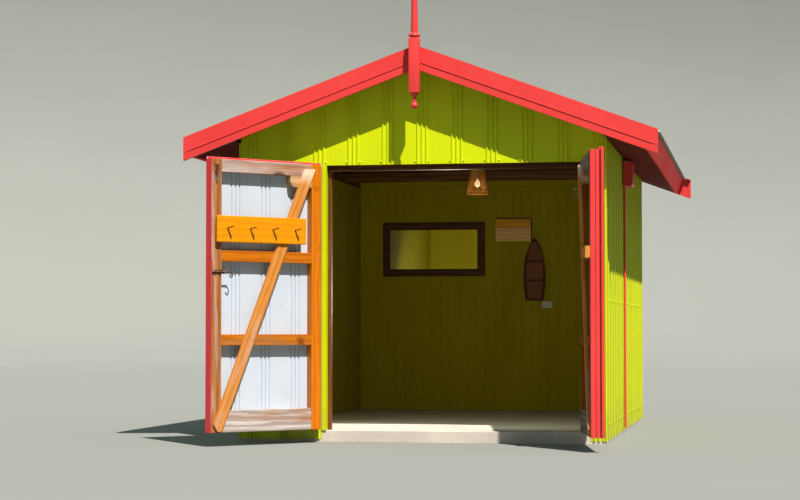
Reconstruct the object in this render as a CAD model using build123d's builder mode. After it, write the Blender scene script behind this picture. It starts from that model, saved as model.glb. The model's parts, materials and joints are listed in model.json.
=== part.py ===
from build123d import *
from math import atan, cos, degrees, pi, radians, sin
import os

# A timber-framed beach hut clad in ribbed steel sheet, standing on a concrete slab.
# Units are millimetres. +Z is up, the door end faces -Y and +X is to the right of
# someone looking at the doors. The origin is the centre of the slab's underside.

# Overall sizes
wall_width = 3200.0          # over the ribs of the side sheets
wall_length = 4900.0         # over the ribs of the end sheets
slab_thick = 100.0
head_height = 2290.0         # doorway head above the floor
lining_rise = 10.0           # top of the doorway beam to the top of the wall lining

# Roof
roof_slope = 0.368           # rise over run
eave_overhang = 446.0        # wall ribs to the cut end of a barge board
eave_rise = 70.6             # doorway beam to the roof's underside, at the side frames
front_overhang = 215.0
rear_overhang = 300.0
rafter_depth = 120.0
rafter_wide = 45.0
rafter_count = 7
purlin_depth = 45.0
purlin_wide = 70.0
purlin_count = 4             # on each slope
purlin_start = 90.0          # apex to the first purlin, down the slope
purlin_end = 45.0            # last purlin to the fascia
eave_board = 6.0             # lining under the eaves
wave_pitch = 76.0
wave_depth = 16.0
sheet_thick = 2.0
fascia_thick = 25.0
fascia_depth = 165.0
fascia_inset = 80.0          # end of barge board to the fascia, down the slope
sheet_lip = 35.0             # roof sheet past the fascia
barge_thick = 35.0
barge_show = 63.0            # timber showing below the barge cap
rear_tail = 70.0             # rear barges past the ends of the front ones
cap_thick = 2.0
cap_top = 80.0
ridge_cap_wing = 150.0
ridge_beam_wide = 45.0

# Wall build-up
rib_depth = 10.0
rib_base = 20.0
rib_crest = 9.0
rib_gap = 40.0               # between the ribs of one cluster
cluster_pitch = 302.0
cluster_shift = 20.0
stud_depth = 90.0
stud_wide = 45.0
stud_pitch = 600.0
lining_thick = 6.0
skirt_height = 25.0          # ground to the lower edge of the wall sheets
trim_thick = 2.0
fit_gap = 0.3                # between neighbouring timbers that are not fixed as one
round_sides = 16             # small round parts that repeat are drawn with flats

# Doorway
doorway_wide = 2238.0
right_pier = 182.0           # doorway to the ribs of the right wall
lintel_depth = 140.0
stop_wide = 30.0
stop_thick = 45.0
opening_trim_wing = 40.0

# Door leaves
overlap = 47.0               # hinge line out from the edge of the doorway
leaf_clear = 5.0             # running clearance to the hut and between the leaves
leaf_gap = 10.0              # between the two leaves when both are closed
left_open = 132.5            # degrees that each leaf stands open
right_open = 99.5
knuckle_r = 8.0
pin_r = 3.0
pin_play = 0.4
plate_thick = 3.0
plate_wing = 48.0
hinge_tall = 110.0
hinge_heights = (350.0, 1250.0, 2150.0)
door_timber = 70.0           # depth of stiles and rails
stile_wide = 100.0
rail_tall = 108.0
mid_rail_tall = 92.0
rail_heights = (735.0, 1432.0)                  # lower edges of the middle rails above the floor
kick_board_tall = 92.0
gusset_long = 220.0          # block under the top rail, beside the hinge stile
gusset_tall = 96.0
door_base = 15.0             # floor to the bottom of a leaf
door_cover = 15.0            # leaf sheet above the doorway head
door_band = 50.0             # red band round the outer face of a leaf
brace_wide = 95.0
brace_thick = 22.0
brace_top_inset = 30.0       # hinge stile to the middle of the brace's upper end
brace_foot_inset = 45.0      # free edge to the middle of its lower end
brace_foot_lift = 10.0
brace_foot_cut = 60.0        # corner cut off the lower end
latch_block_long = 320.0
latch_block_thick = 40.0
hook_board_thick = 22.0
hook_board_tall = 222.0
hook_board_base = 1590.0     # above the floor
hook_count = 4
hook_pitch = 225.0           # along the hook board, also from its end
hook_wire = 6.0
hook_leg = 45.0
hook_rise = 38.0
hook_reach = 42.0
hook_bend = 8.0
cover_strip_wide = 40.0
cover_strip_thick = 26.0
bolt_r = 6.5
bolt_plate = 3.0
tower_bolt_tall = 130.0
tower_bolt_wide = 38.0
tower_bolt_drop = 177.0      # top of the leaf to the tower bolt's plate
slide_bolt_long = 110.0
slide_bolt_tall = 34.0
slide_bolt_height = 1345.0   # above the floor
wall_hook_height = 2050.0
wall_hook_long = 45.0
wall_hook_r = 4.0

# Finial
post_wide = 90.0
post_rise = 255.0            # roof underside at the apex to the top of the post
post_drop = 215.0
post_chamfer = 5.0
collar_r = 52.0
collar_tall = 44.0
spire_r = 31.0
spire_tall = 646.0
tip_r = 9.0
neck_r = 16.0
neck_tall = 74.0
ball_r = 30.0
finial_sides = 24            # flats of the turned parts

# Fittings
lamp_x = 150.0
lamp_top_r = 72.0
lamp_foot_r = 108.0
lamp_tall = 235.0
shade_thick = 4.0
shade_staves = 28            # flats of the woven shade, one for each upright cane
lamp_plate_r = 45.0
lamp_plate_thick = 12.0
lamp_holder_r = 18.0
lamp_holder_long = 75.0
bulb_r = 30.0
bulb_neck = 13.0
bulb_drop = 140.0            # ceiling to the middle of the bulb
mirror_wide = 1130.0
mirror_tall = 590.0
mirror_band = 80.0
mirror_thick = 25.0
mirror_x = -672.0
mirror_base = 1460.0
panel_wide = 398.0
panel_tall = 250.0
panel_x = 213.0
panel_base = 1840.0
boat_wide = 225.0
boat_tall = 680.0
boat_deep = 70.0
boat_wall = 12.0
boat_gap = 28.0              # pale panel to the middle of the boat
boat_base = 1190.0
boat_shelves = (0.32, 0.62)  # of its height
box_reach = 90.0
box_long = 300.0
box_tall = 230.0
box_back = 2150.0            # front wall to the middle of the box
box_gap = 6.0
conduit_r = 11.0
conduit_inset = 30.0
outlet_wide = 116.0
outlet_tall = 72.0
outlet_thick = 9.0
outlet_x = 578.0
outlet_base = 1110.0

# Derived places
pitch_deg = degrees(atan(roof_slope))
cs = cos(radians(pitch_deg))
sn = sin(radians(pitch_deg))
floor_z = slab_thick
head_z = floor_z + head_height
beam_top = head_z + lintel_depth
lining_z = beam_top + lining_rise
side_x = wall_width / 2
opening_right = side_x - right_pier
opening_left = opening_right - doorway_wide
front_y = -wall_length / 2
back_y = wall_length / 2
cladding = rib_depth + sheet_thick
frame_x = side_x - cladding                     # outer face of the side frames
frame_y = back_y - cladding                     # outer face of the end frames
inner_x = frame_x - stud_depth
inner_y = frame_y - stud_depth
roof_apex = beam_top + eave_rise + roof_slope * frame_x      # underside at the centre line
eave_reach = side_x + eave_overhang
barge_front_y = front_y - front_overhang
barge_rear_y = back_y + rear_overhang
rafter_low = eave_board
rafter_top = rafter_low + rafter_depth
purlin_top = rafter_top + purlin_depth
crest = purlin_top + wave_depth + sheet_thick
eave_s = eave_reach / cs                        # slope length at the underside
fascia_out = eave_s - fascia_inset
fascia_in = fascia_out - fascia_thick
purlin_step = (fascia_in - purlin_end - purlin_wide - purlin_start) / (purlin_count - 1)
purlin_runs = [purlin_start + i * purlin_step for i in range(purlin_count)]


def roof_x(s, n):
    """X of a point s down the right slope and n out from the roof's underside."""
    return s * cs + n * sn


def roof_z(s, n):
    return roof_apex - s * sn + n * cs


def under_z(x, n=0.0):
    """Height of the roof layer n over a point x from the centre line."""
    return roof_apex - roof_slope * abs(x) + n / cs


def ribbed_outline(x0, x1, centre):
    """Outline of ribbed sheet from x0 to x1, its back on y=0 and its ribs towards -y."""
    front = [(x0, -sheet_thick)]
    back = [(x0, 0.0)]
    slope = (rib_base - rib_crest) / 2
    first = int((x0 - centre) // cluster_pitch) - 1
    for k in range(first, first + 40):
        for step in (-1, 0, 1):
            mid = centre + k * cluster_pitch + step * rib_gap
            low = mid - rib_base / 2
            high = mid + rib_base / 2
            if low < x0 + 4 or high > x1 - 4:
                continue
            front += [(low, -sheet_thick), (low + slope, -cladding),
                      (high - slope, -cladding), (high, -sheet_thick)]
            back += [(low + sheet_thick / 2, 0.0), (low + slope + sheet_thick / 2, -rib_depth),
                     (high - slope - sheet_thick / 2, -rib_depth), (high - sheet_thick / 2, 0.0)]
    front.append((x1, -sheet_thick))
    back.append((x1, 0.0))
    return front + back[::-1]


def wave_outline(y0, y1):
    """Outline of corrugated sheet between y0 and y1, its troughs on 0."""
    count = int(round((y1 - y0) / wave_pitch * 4))
    step = (y1 - y0) / count
    lift = (0.0, wave_depth / 2, wave_depth, wave_depth / 2)
    low = [(y0 + i * step, lift[i % 4]) for i in range(count + 1)]
    high = [(y, z + sheet_thick) for y, z in low]
    return low + high[::-1]


def turned(x, y, stops, sides, mode=Mode.ADD):
    """Turned form with flats: straight or tapering lengths between (radius, height) stops."""
    for (low_r, low), (high_r, high) in zip(stops, stops[1:]):
        lean = atan((low_r - high_r) * cos(pi / sides) / (high - low))
        with BuildSketch(Plane.XY.offset(low)) as outline:
            with Locations((x, y)):
                RegularPolygon(low_r, sides)
        extrude(outline.sketch, amount=high - low, taper=degrees(lean), mode=mode)


def mirrored(piece):
    return mirror(piece, about=Plane.YZ, mode=Mode.PRIVATE)


# Planes that the wall pieces are drawn on. Each looks at its wall from outside.
front_plane = Plane(origin=(0, front_y + cladding, 0), x_dir=(1, 0, 0), z_dir=(0, -1, 0))
back_plane = Plane(origin=(0, back_y - cladding, 0), x_dir=(-1, 0, 0), z_dir=(0, 1, 0))
front_plan = Plane(origin=(0, front_y + cladding, 0), x_dir=(1, 0, 0), z_dir=(0, 0, 1))
back_plan = Plane(origin=(0, back_y - cladding, 0), x_dir=(-1, 0, 0), z_dir=(0, 0, 1))
right_plan = Plane(origin=(side_x - cladding, 0, 0), x_dir=(0, 1, 0), z_dir=(0, 0, 1))

# Concrete slab, tucked behind the lower edges of the sheets
with BuildPart() as floor_slab:
    Box(2 * frame_x, 2 * frame_y, slab_thick, align=(Align.CENTER, Align.CENTER, Align.MIN))
    chamfer(floor_slab.edges().group_by(Axis.Z)[-1], 4)

# Side wall frames: bottom plate, studs and a top plate bevelled to the rafters
side_run = 2 * inner_y
side_studs = int(side_run // stud_pitch) + 1
side_plate_low = under_z(frame_x, rafter_low) - stud_wide - 10
with BuildPart() as wall_frames:
    for side in (-1, 1):
        with BuildSketch(Plane.XZ.offset(-inner_y)):
            with BuildLine():
                Polyline((side * inner_x, side_plate_low), (side * frame_x, side_plate_low),
                         (side * frame_x, under_z(frame_x, rafter_low)),
                         (side * inner_x, under_z(inner_x, rafter_low)), close=True)
            make_face()
        extrude(amount=2 * inner_y)
        with Locations((side * (inner_x + frame_x) / 2, 0, floor_z + stud_wide / 2)):
            Box(stud_depth, 2 * inner_y, stud_wide)
        for i in range(side_studs):
            y = -inner_y + stud_wide / 2 + i * (side_run - stud_wide) / (side_studs - 1)
            with Locations((side * (inner_x + frame_x) / 2, y, floor_z)):
                Box(stud_depth, stud_wide, side_plate_low - floor_z,
                    align=(Align.CENTER, Align.CENTER, Align.MIN))

# Back wall frame
end_plate_z = lining_z
with BuildPart() as back_frame:
    with BuildSketch(back_plane):
        with Locations((0, floor_z + stud_wide / 2), (0, end_plate_z - stud_wide / 2)):
            Rectangle(2 * frame_x, stud_wide)
        with Locations((0, (floor_z + end_plate_z) / 2)):
            with GridLocations((2 * frame_x - stud_wide) / 6, 0, 7, 1):
                Rectangle(stud_wide, end_plate_z - floor_z)
    extrude(amount=-stud_depth)

# Front wall posts and the lintel over the doorway
post_left = opening_left - trim_thick
post_right = opening_right + trim_thick
with BuildPart() as front_frame:
    with BuildSketch(front_plane):
        for x in (post_left - stud_wide / 2, -frame_x + stud_wide / 2,
                  (post_left - frame_x) / 2, frame_x - stud_wide / 2,
                  post_right + stud_wide / 2):
            with Locations((x, (floor_z + head_z) / 2)):
                Rectangle(stud_wide, head_z - floor_z - 2 * fit_gap)
        with Locations((0, head_z)):
            Rectangle(2 * frame_x, lintel_depth, align=(Align.CENTER, Align.MIN))
    extrude(amount=-stud_depth)

# Short studs in both gables, cut to the slope of the rafters
gable_side = int((frame_x - stud_pitch / 3) // stud_pitch)
gable_runs = [i * stud_pitch for i in range(-gable_side, gable_side + 1)]
with BuildPart() as gable_studs:
    for plane, low in ((front_plane, beam_top), (back_plane, end_plate_z)):
        for x in gable_runs:
            half = stud_wide / 2
            a = under_z(max(abs(x - half), ridge_beam_wide / 2), rafter_low)
            b = under_z(max(abs(x + half), ridge_beam_wide / 2), rafter_low)
            if x == 0.0:
                a = b = under_z(ridge_beam_wide / 2, rafter_low) - 20
            with BuildSketch(plane):
                with BuildLine():
                    Polyline((x - half, low + fit_gap), (x + half, low + fit_gap),
                             (x + half, b - fit_gap), (x - half, a - fit_gap), close=True)
                make_face()
            extrude(amount=-stud_depth)

# Stops that the closed leaves meet, and the folded trims round the doorway
leaf_back = front_y - leaf_clear + door_timber
stop_y = leaf_back + leaf_clear
with BuildPart() as door_stops:
    with BuildSketch(Plane.XZ.offset(-stop_y)):
        for x, way in ((opening_left, 1), (opening_right, -1)):
            with Locations((x + way * stop_wide / 2, (floor_z + head_z) / 2)):
                Rectangle(stop_wide, head_z - floor_z - 2 * fit_gap)
        with Locations(((opening_left + opening_right) / 2, head_z - stop_thick / 2 - fit_gap)):
            Rectangle(opening_right - opening_left - 2 * stop_wide - 2 * fit_gap, stop_thick)
    extrude(amount=-stop_thick)

with BuildPart() as opening_trims:
    for x, way in ((opening_left, -1), (opening_right, 1)):
        with BuildSketch(Plane.XY.offset(floor_z)):
            with BuildLine():
                Polyline((x, stop_y), (x, front_y), (x + way * opening_trim_wing, front_y),
                         (x + way * opening_trim_wing, front_y + cladding),
                         (x + way * trim_thick, front_y + cladding),
                         (x + way * trim_thick, stop_y), close=True)
            make_face()
        extrude(amount=head_z - floor_z - fit_gap)

# Ribbed wall sheets
eave_cut = under_z(side_x)
with BuildPart() as right_cladding:
    with BuildSketch(right_plan.offset(skirt_height)):
        with BuildLine():
            Polyline(*ribbed_outline(-frame_y, frame_y, 0.0), close=True)
        make_face()
    extrude(amount=eave_cut - skirt_height - fit_gap)

with BuildPart() as left_cladding:
    add(mirrored(right_cladding.part))

with BuildPart() as front_gable:
    with BuildSketch(front_plan.offset(head_z)):
        with BuildLine():
            Polyline(*ribbed_outline(-frame_x, frame_x, cluster_shift), close=True)
        make_face()
    extrude(amount=roof_apex)
    with BuildSketch(front_plane.offset(-1)):
        with BuildLine():
            Polyline((-frame_x, head_z), (frame_x, head_z),
                     (frame_x, under_z(frame_x, rafter_top)), (0, under_z(0, rafter_top)),
                     (-frame_x, under_z(frame_x, rafter_top)), close=True)
        make_face()
    extrude(amount=cladding + 2, mode=Mode.INTERSECT)

with BuildPart() as front_piers:
    for x0, x1 in ((-frame_x, opening_left - opening_trim_wing),
                   (opening_right + opening_trim_wing, frame_x)):
        with BuildSketch(front_plan.offset(skirt_height)):
            with BuildLine():
                Polyline(*ribbed_outline(x0, x1, cluster_shift), close=True)
            make_face()
        extrude(amount=head_z - skirt_height - fit_gap)

with BuildPart() as back_cladding:
    with BuildSketch(back_plan.offset(skirt_height)):
        with BuildLine():
            Polyline(*ribbed_outline(-frame_x, frame_x, 0.0), close=True)
        make_face()
    extrude(amount=roof_apex)
    with BuildSketch(back_plane.offset(-1)):
        with BuildLine():
            Polyline((-frame_x, skirt_height), (frame_x, skirt_height),
                     (frame_x, under_z(frame_x, rafter_top)), (0, under_z(0, rafter_top)),
                     (-frame_x, under_z(frame_x, rafter_top)), close=True)
        make_face()
    extrude(amount=cladding + 2, mode=Mode.INTERSECT)

# Folded angles that close the four corners
with BuildPart() as corner_trims:
    for sx in (-1, 1):
        for sy in (-1, 1):
            x = sx * side_x
            y = sy * back_y
            with BuildSketch(Plane.XY.offset(skirt_height)):
                with BuildLine():
                    Polyline((x, y), (x - sx * cladding, y), (x - sx * cladding, y - sy * cladding),
                             (x, y - sy * cladding), close=True)
                make_face()
            extrude(amount=eave_cut - skirt_height - fit_gap)

# Inside linings
with BuildPart() as right_lining:
    with Locations((inner_x - lining_thick / 2, 0, floor_z)):
        Box(lining_thick, 2 * (inner_y - lining_thick), lining_z - floor_z,
            align=(Align.CENTER, Align.CENTER, Align.MIN))
with BuildPart() as left_lining:
    add(mirrored(right_lining.part))
with BuildPart() as back_lining:
    with Locations((0, inner_y - lining_thick / 2, floor_z)):
        Box(2 * inner_x, lining_thick, lining_z - floor_z,
            align=(Align.CENTER, Align.CENTER, Align.MIN))
with BuildPart() as front_lining:
    with BuildSketch(Plane.XZ.offset(inner_y)):
        for x0, x1, z0 in ((-inner_x, post_left, floor_z), (post_right, inner_x, floor_z),
                           (post_left + fit_gap, post_right - fit_gap, head_z)):
            with Locations(((x0 + x1) / 2, (z0 + lining_z) / 2)):
                Rectangle(x1 - x0, lining_z - z0)
    extrude(amount=-lining_thick)

# Roof timbers
with BuildPart() as ridge_beam:
    half = ridge_beam_wide / 2
    low = under_z(half, rafter_low) - 20
    with BuildSketch(Plane.XZ.offset(frame_y)):
        with BuildLine():
            Polyline((-half, low), (half, low), (half, under_z(half, rafter_top)),
                     (0, under_z(0, rafter_top)), (-half, under_z(half, rafter_top)), close=True)
        make_face()
    extrude(amount=-2 * frame_y)

rafter_step = (2 * frame_y - rafter_wide) / (rafter_count - 1)
with BuildPart() as rafters:
    half = ridge_beam_wide / 2
    for i in range(rafter_count):
        y = -frame_y + i * rafter_step
        for side in (-1, 1):
            with BuildSketch(Plane.XZ.offset(-y)):
                with BuildLine():
                    Polyline((side * half, under_z(half, rafter_low)),
                             (side * roof_x(fascia_in, rafter_low), roof_z(fascia_in, rafter_low)),
                             (side * roof_x(fascia_in, rafter_top), roof_z(fascia_in, rafter_top)),
                             (side * half, under_z(half, rafter_top)), close=True)
                make_face()
            extrude(amount=-rafter_wide)

tie_places = (-1500.0, 0.0, 1500.0)
with BuildPart() as tie_beams:
    for y in tie_places:
        with Locations((0, y, lining_z)):
            Box(2 * inner_x, rafter_wide, stud_depth,
                align=(Align.CENTER, Align.CENTER, Align.MIN))

purlin_y0 = barge_front_y + cap_thick + barge_thick
purlin_y1 = barge_rear_y - cap_thick - barge_thick
with BuildPart() as purlins:
    for side in (-1, 1):
        for s in purlin_runs:
            with BuildSketch(Plane.XZ.offset(-purlin_y0)):
                with BuildLine():
                    Polyline((side * roof_x(s, rafter_top), roof_z(s, rafter_top)),
                             (side * roof_x(s + purlin_wide, rafter_top),
                              roof_z(s + purlin_wide, rafter_top)),
                             (side * roof_x(s + purlin_wide, purlin_top),
                              roof_z(s + purlin_wide, purlin_top)),
                             (side * roof_x(s, purlin_top), roof_z(s, purlin_top)), close=True)
                make_face()
            extrude(amount=-(purlin_y1 - purlin_y0))

# Roof sheets, drawn across the waves and run down the slope
sheet_from = purlin_top * sn / cs + 12
sheet_to = fascia_out + sheet_lip
slope_plane = Plane(origin=(roof_x(sheet_from, purlin_top), 0, roof_z(sheet_from, purlin_top)),
                    x_dir=(0, 1, 0), z_dir=(cs, 0, -sn))
with BuildPart() as right_sheet:
    with BuildSketch(slope_plane):
        with BuildLine():
            Polyline(*wave_outline(purlin_y0, purlin_y1), close=True)
        make_face()
    extrude(amount=sheet_to - sheet_from)
with BuildPart() as left_sheet:
    add(mirrored(right_sheet.part))

with BuildPart() as ridge_cap:
    with BuildSketch(Plane.XZ.offset(-barge_front_y - cap_top)):
        with BuildLine():
            wing = ridge_cap_wing
            Polyline((0, under_z(0, crest)),
                     (roof_x(wing, crest), roof_z(wing, crest)),
                     (roof_x(wing, crest + cap_thick), roof_z(wing, crest + cap_thick)),
                     (0, under_z(0, crest + cap_thick)),
                     (-roof_x(wing, crest + cap_thick), roof_z(wing, crest + cap_thick)),
                     (-roof_x(wing, crest), roof_z(wing, crest)), close=True)
        make_face()
    extrude(amount=-(barge_rear_y - barge_front_y - 2 * cap_top))

# Eaves: fascia boards square to the slope, and the sloping lining between them and the walls
with BuildPart() as eave_fascias:
    for side in (-1, 1):
        with BuildSketch(Plane.XZ.offset(-purlin_y0)):
            with BuildLine():
                Polyline((side * roof_x(fascia_in, 0), roof_z(fascia_in, 0)),
                         (side * roof_x(fascia_out, 0), roof_z(fascia_out, 0)),
                         (side * roof_x(fascia_out, fascia_depth), roof_z(fascia_out, fascia_depth)),
                         (side * roof_x(fascia_in, fascia_depth), roof_z(fascia_in, fascia_depth)),
                         close=True)
            make_face()
        extrude(amount=-(purlin_y1 - purlin_y0))

with BuildPart() as eave_linings:
    for side in (-1, 1):
        with BuildSketch(Plane.XZ.offset(-purlin_y0)):
            with BuildLine():
                Polyline((side * side_x, under_z(side_x)),
                         (side * roof_x(fascia_in, 0), roof_z(fascia_in, 0)),
                         (side * roof_x(fascia_in, eave_board), roof_z(fascia_in, eave_board)),
                         (side * side_x, under_z(side_x, eave_board)), close=True)
            make_face()
        extrude(amount=-(purlin_y1 - purlin_y0))


def barge_face(low, high, tail):
    """Corners of one barge board or cap, from the centre line to its plumb-cut tail."""
    return [(0, under_z(0, low)), (tail, under_z(tail, low)),
            (tail, under_z(tail, high)), (0, under_z(0, high))]


with BuildPart() as front_barges:
    with BuildSketch(Plane.XZ.offset(-barge_front_y - cap_thick)):
        with BuildLine():
            Polyline(*[(x + fit_gap / 2, z) for x, z in barge_face(0, crest, eave_reach)], close=True)
        make_face()
        mirror(about=Plane.YZ)
    extrude(amount=-barge_thick)

with BuildPart() as rear_barges:
    with BuildSketch(Plane.XZ.offset(-barge_rear_y + cap_thick)):
        with BuildLine():
            Polyline(*[(x + fit_gap / 2, z) for x, z in barge_face(0, crest, eave_reach + rear_tail)],
                     close=True)
        make_face()
        mirror(about=Plane.YZ)
    extrude(amount=barge_thick)

# Folded caps over the barge boards: a face and a top flange over the sheet edge
with BuildPart() as barge_caps:
    for y, way, tail in ((barge_front_y, -1, eave_reach), (barge_rear_y, 1, eave_reach + rear_tail)):
        for side in (-1, 1):
            face = [(side * (x + fit_gap / 2), z)
                    for x, z in barge_face(barge_show, crest + cap_thick, tail)]
            top = [(side * (x + fit_gap / 2), z)
                   for x, z in barge_face(crest, crest + cap_thick, tail)]
            with BuildSketch(Plane.XZ.offset(-y)):
                with BuildLine():
                    Polyline(*face, close=True)
                make_face()
            extrude(amount=way * cap_thick)
            with BuildSketch(Plane.XZ.offset(-y)):
                with BuildLine():
                    Polyline(*top, close=True)
                make_face()
            extrude(amount=way * cap_top)

# Turned finial on a square post in front of the barge apex: a collar and a tapering spire
# above the post, a neck and a ball below it
post_low = roof_apex - post_drop
post_top = roof_apex + post_rise
finial_y = barge_front_y - post_wide / 2
spire_z = post_top + collar_tall
tip_z = spire_z + spire_tall
ball_lift = (ball_r ** 2 - neck_r ** 2) ** 0.5
neck_z = post_low - post_chamfer - neck_tall
ball_z = neck_z - ball_lift
with BuildPart() as finial:
    with Locations((0, finial_y, post_low)):
        Box(post_wide, post_wide, post_top - post_low,
            align=(Align.CENTER, Align.CENTER, Align.MIN))
    chamfer(finial.edges(), post_chamfer)
    turned(0, finial_y,
           [(collar_r * 0.65, post_top - post_chamfer), (collar_r * 0.65, post_top + 4),
            (collar_r, post_top + collar_tall * 0.4), (collar_r, post_top + collar_tall * 0.65),
            (spire_r, spire_z), (spire_r * 0.71, spire_z + spire_tall * 0.58), (tip_r, tip_z),
            (tip_r * 0.4, tip_z + tip_r)], finial_sides)
    turned(0, finial_y,
           [(ball_r * 0.6, ball_z - ball_r), (ball_r * 0.95, ball_z - ball_r * 0.4),
            (ball_r * 0.95, ball_z + ball_r * 0.3), (neck_r, neck_z),
            (neck_r, post_low - neck_tall * 0.35), (ball_r, post_low - post_chamfer),
            (ball_r, post_low + post_chamfer)], finial_sides)

# Meter box under the right eave, with its conduit down the wall
box_y = front_y + box_back
box_top = under_z(side_x + box_reach) - box_gap
with BuildPart() as meter_box:
    with Locations((side_x, box_y, box_top - box_tall)):
        Box(box_reach, box_long, box_tall, align=(Align.MIN, Align.CENTER, Align.MIN))
    chamfer(meter_box.edges().filter_by(Axis.Y).group_by(Axis.X)[-1], 10)
    chamfer(meter_box.faces().sort_by(Axis.X)[-1].edges(), 4)
with BuildPart() as conduit:
    with BuildSketch(Plane.XY.offset(slab_thick / 2)):
        with Locations((side_x + conduit_r + fit_gap, box_y - box_long / 2 + conduit_inset)):
            Circle(conduit_r)
    extrude(amount=box_top - box_tall - slab_thick / 2)

# Pendant lamp under the middle tie beam
lamp_z = lining_z - lamp_tall - lamp_plate_thick
lamp_high = lamp_z + lamp_tall
with BuildPart() as lamp_shade:
    turned(lamp_x, 0, [(lamp_foot_r, lamp_z), (lamp_top_r, lamp_high)], shade_staves)
    turned(lamp_x, 0, [(lamp_foot_r - shade_thick, lamp_z),
                       (lamp_top_r - shade_thick, lamp_high - shade_thick)],
           shade_staves, Mode.SUBTRACT)
    turned(lamp_x, 0, [(lamp_holder_r, lamp_high - shade_thick), (lamp_holder_r, lamp_high)],
           round_sides, Mode.SUBTRACT)
holder_r = lamp_holder_r - fit_gap
plate_low = lining_z - lamp_plate_thick + fit_gap
bulb_z = lining_z - bulb_drop
with BuildPart() as lamp_bulb:
    turned(lamp_x, 0,
           [(bulb_r * 0.5, bulb_z - bulb_r), (bulb_r * 0.95, bulb_z - bulb_r * 0.4),
            (bulb_r * 0.95, bulb_z + bulb_r * 0.3), (bulb_neck, bulb_z + bulb_r * 0.95),
            (holder_r, lining_z - lamp_holder_long), (holder_r, plate_low)], round_sides)
    turned(lamp_x, 0, [(lamp_plate_r, plate_low), (lamp_plate_r, lining_z)], shade_staves)

# Pieces hung on the back wall
hang_y = inner_y - lining_thick
hang_plane = Plane(origin=(0, hang_y, 0), x_dir=(1, 0, 0), z_dir=(0, -1, 0))
mirror_z = floor_z + mirror_base + mirror_tall / 2
glass_wide = mirror_wide - 2 * mirror_band
glass_tall = mirror_tall - 2 * mirror_band
with BuildPart() as mirror_frame:
    with BuildSketch(hang_plane):
        with Locations((mirror_x, mirror_z)):
            Rectangle(mirror_wide, mirror_tall)
    extrude(amount=mirror_thick)
    chamfer(mirror_frame.faces().sort_by(Axis.Y)[0].edges(), 5)
    with BuildSketch(hang_plane.offset(6)):
        with Locations((mirror_x, mirror_z)):
            Rectangle(glass_wide, glass_tall)
    extrude(amount=mirror_thick, mode=Mode.SUBTRACT)
with BuildPart() as mirror_glass:
    with BuildSketch(hang_plane.offset(6)):
        with Locations((mirror_x, mirror_z)):
            Rectangle(glass_wide - 2 * fit_gap, glass_tall - 2 * fit_gap)
    extrude(amount=4)

with BuildPart() as wall_panel:
    with BuildSketch(hang_plane):
        with Locations((panel_x, floor_z + panel_base + panel_tall / 2)):
            Rectangle(panel_wide, panel_tall)
    extrude(amount=18)
    chamfer(wall_panel.faces().sort_by(Axis.Y)[0].edges(), 3)

with BuildPart() as power_outlet:
    with BuildSketch(hang_plane):
        with Locations((outlet_x, floor_z + outlet_base + outlet_tall / 2)):
            Rectangle(outlet_wide, outlet_tall)
    extrude(amount=outlet_thick)
    chamfer(power_outlet.edges().filter_by(Axis.Y), 3)
    chamfer(power_outlet.faces().sort_by(Axis.Y)[0].edges(), 2)

boat_x = panel_x + panel_wide / 2 + boat_gap
boat_z = floor_z + boat_base


def boat_outline(inset):
    """Half-boat outline with a pointed top: stern width at the foot, bow at the top."""
    half = boat_wide / 2 - inset
    foot = half * 0.82
    return (foot, half, boat_z + inset, boat_z + boat_tall - 2.2 * inset)


with BuildPart() as boat_shelf:
    for inset, depth, how in ((0.0, boat_deep, Mode.ADD), (boat_wall, boat_deep, Mode.SUBTRACT)):
        foot, half, low, high = boat_outline(inset)
        with BuildSketch(hang_plane.offset(inset * 0.5)):
            with BuildLine():
                Line((boat_x - foot, low), (boat_x + foot, low))
                Spline((boat_x + foot, low), (boat_x + half, low + 0.42 * boat_tall),
                       (boat_x + half * 0.62, low + 0.80 * boat_tall), (boat_x, high))
                Spline((boat_x - foot, low), (boat_x - half, low + 0.42 * boat_tall),
                       (boat_x - half * 0.62, low + 0.80 * boat_tall), (boat_x, high))
            make_face()
        extrude(amount=depth, mode=how)
    for share in boat_shelves:
        with BuildSketch(hang_plane.offset(boat_wall * 0.5)):
            with Locations((boat_x, boat_z + share * boat_tall)):
                Rectangle(boat_wide * (0.96 if share < 0.5 else 0.86), boat_wall)
        extrude(amount=boat_deep - boat_wall)

# Door leaves. A leaf is drawn on planes that stand with it: local x runs along the leaf
# (negative on the left leaf), local y is up and the normal points to the leaf's inner face.
# Depths are taken from the hinge line towards the inner face.
hinge_y = front_y - leaf_clear - cladding - trim_thick - knuckle_r
hinge_x = {-1: opening_left - overlap, 1: opening_right + overlap}
leaf_reach = (hinge_x[1] - hinge_x[-1] - leaf_gap) / 2
leaf_edge = leaf_clear - 2.0                    # hinge line to the sheet's edge
band = knuckle_r                                # depth of the outer trim's face
rib_face = band + trim_thick
sheet_back = rib_face + cladding
timber_face = sheet_back + door_timber
timber_from = overlap + leaf_clear + 1
timber_to = leaf_reach - trim_thick
leaf_low = floor_z + door_base
leaf_high = head_z + door_cover
timber_high = head_z - leaf_clear
opened = {-1: radians(left_open), 1: radians(right_open)}


def leaf_face(side, depth):
    a = opened[side]
    along = Vector(-cos(a), -side * sin(a), 0)
    inward = Vector(-side * sin(a), cos(a), 0)
    base = Vector(hinge_x[side], hinge_y, 0) + inward * depth
    return Plane(origin=base, x_dir=along, z_dir=inward)


def leaf_plan(side, height):
    """Level plane with x along the leaf and y away from its inner face."""
    a = opened[side]
    return Plane(origin=(hinge_x[side], hinge_y, height),
                 x_dir=(-cos(a), -side * sin(a), 0), z_dir=(0, 0, 1))


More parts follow.
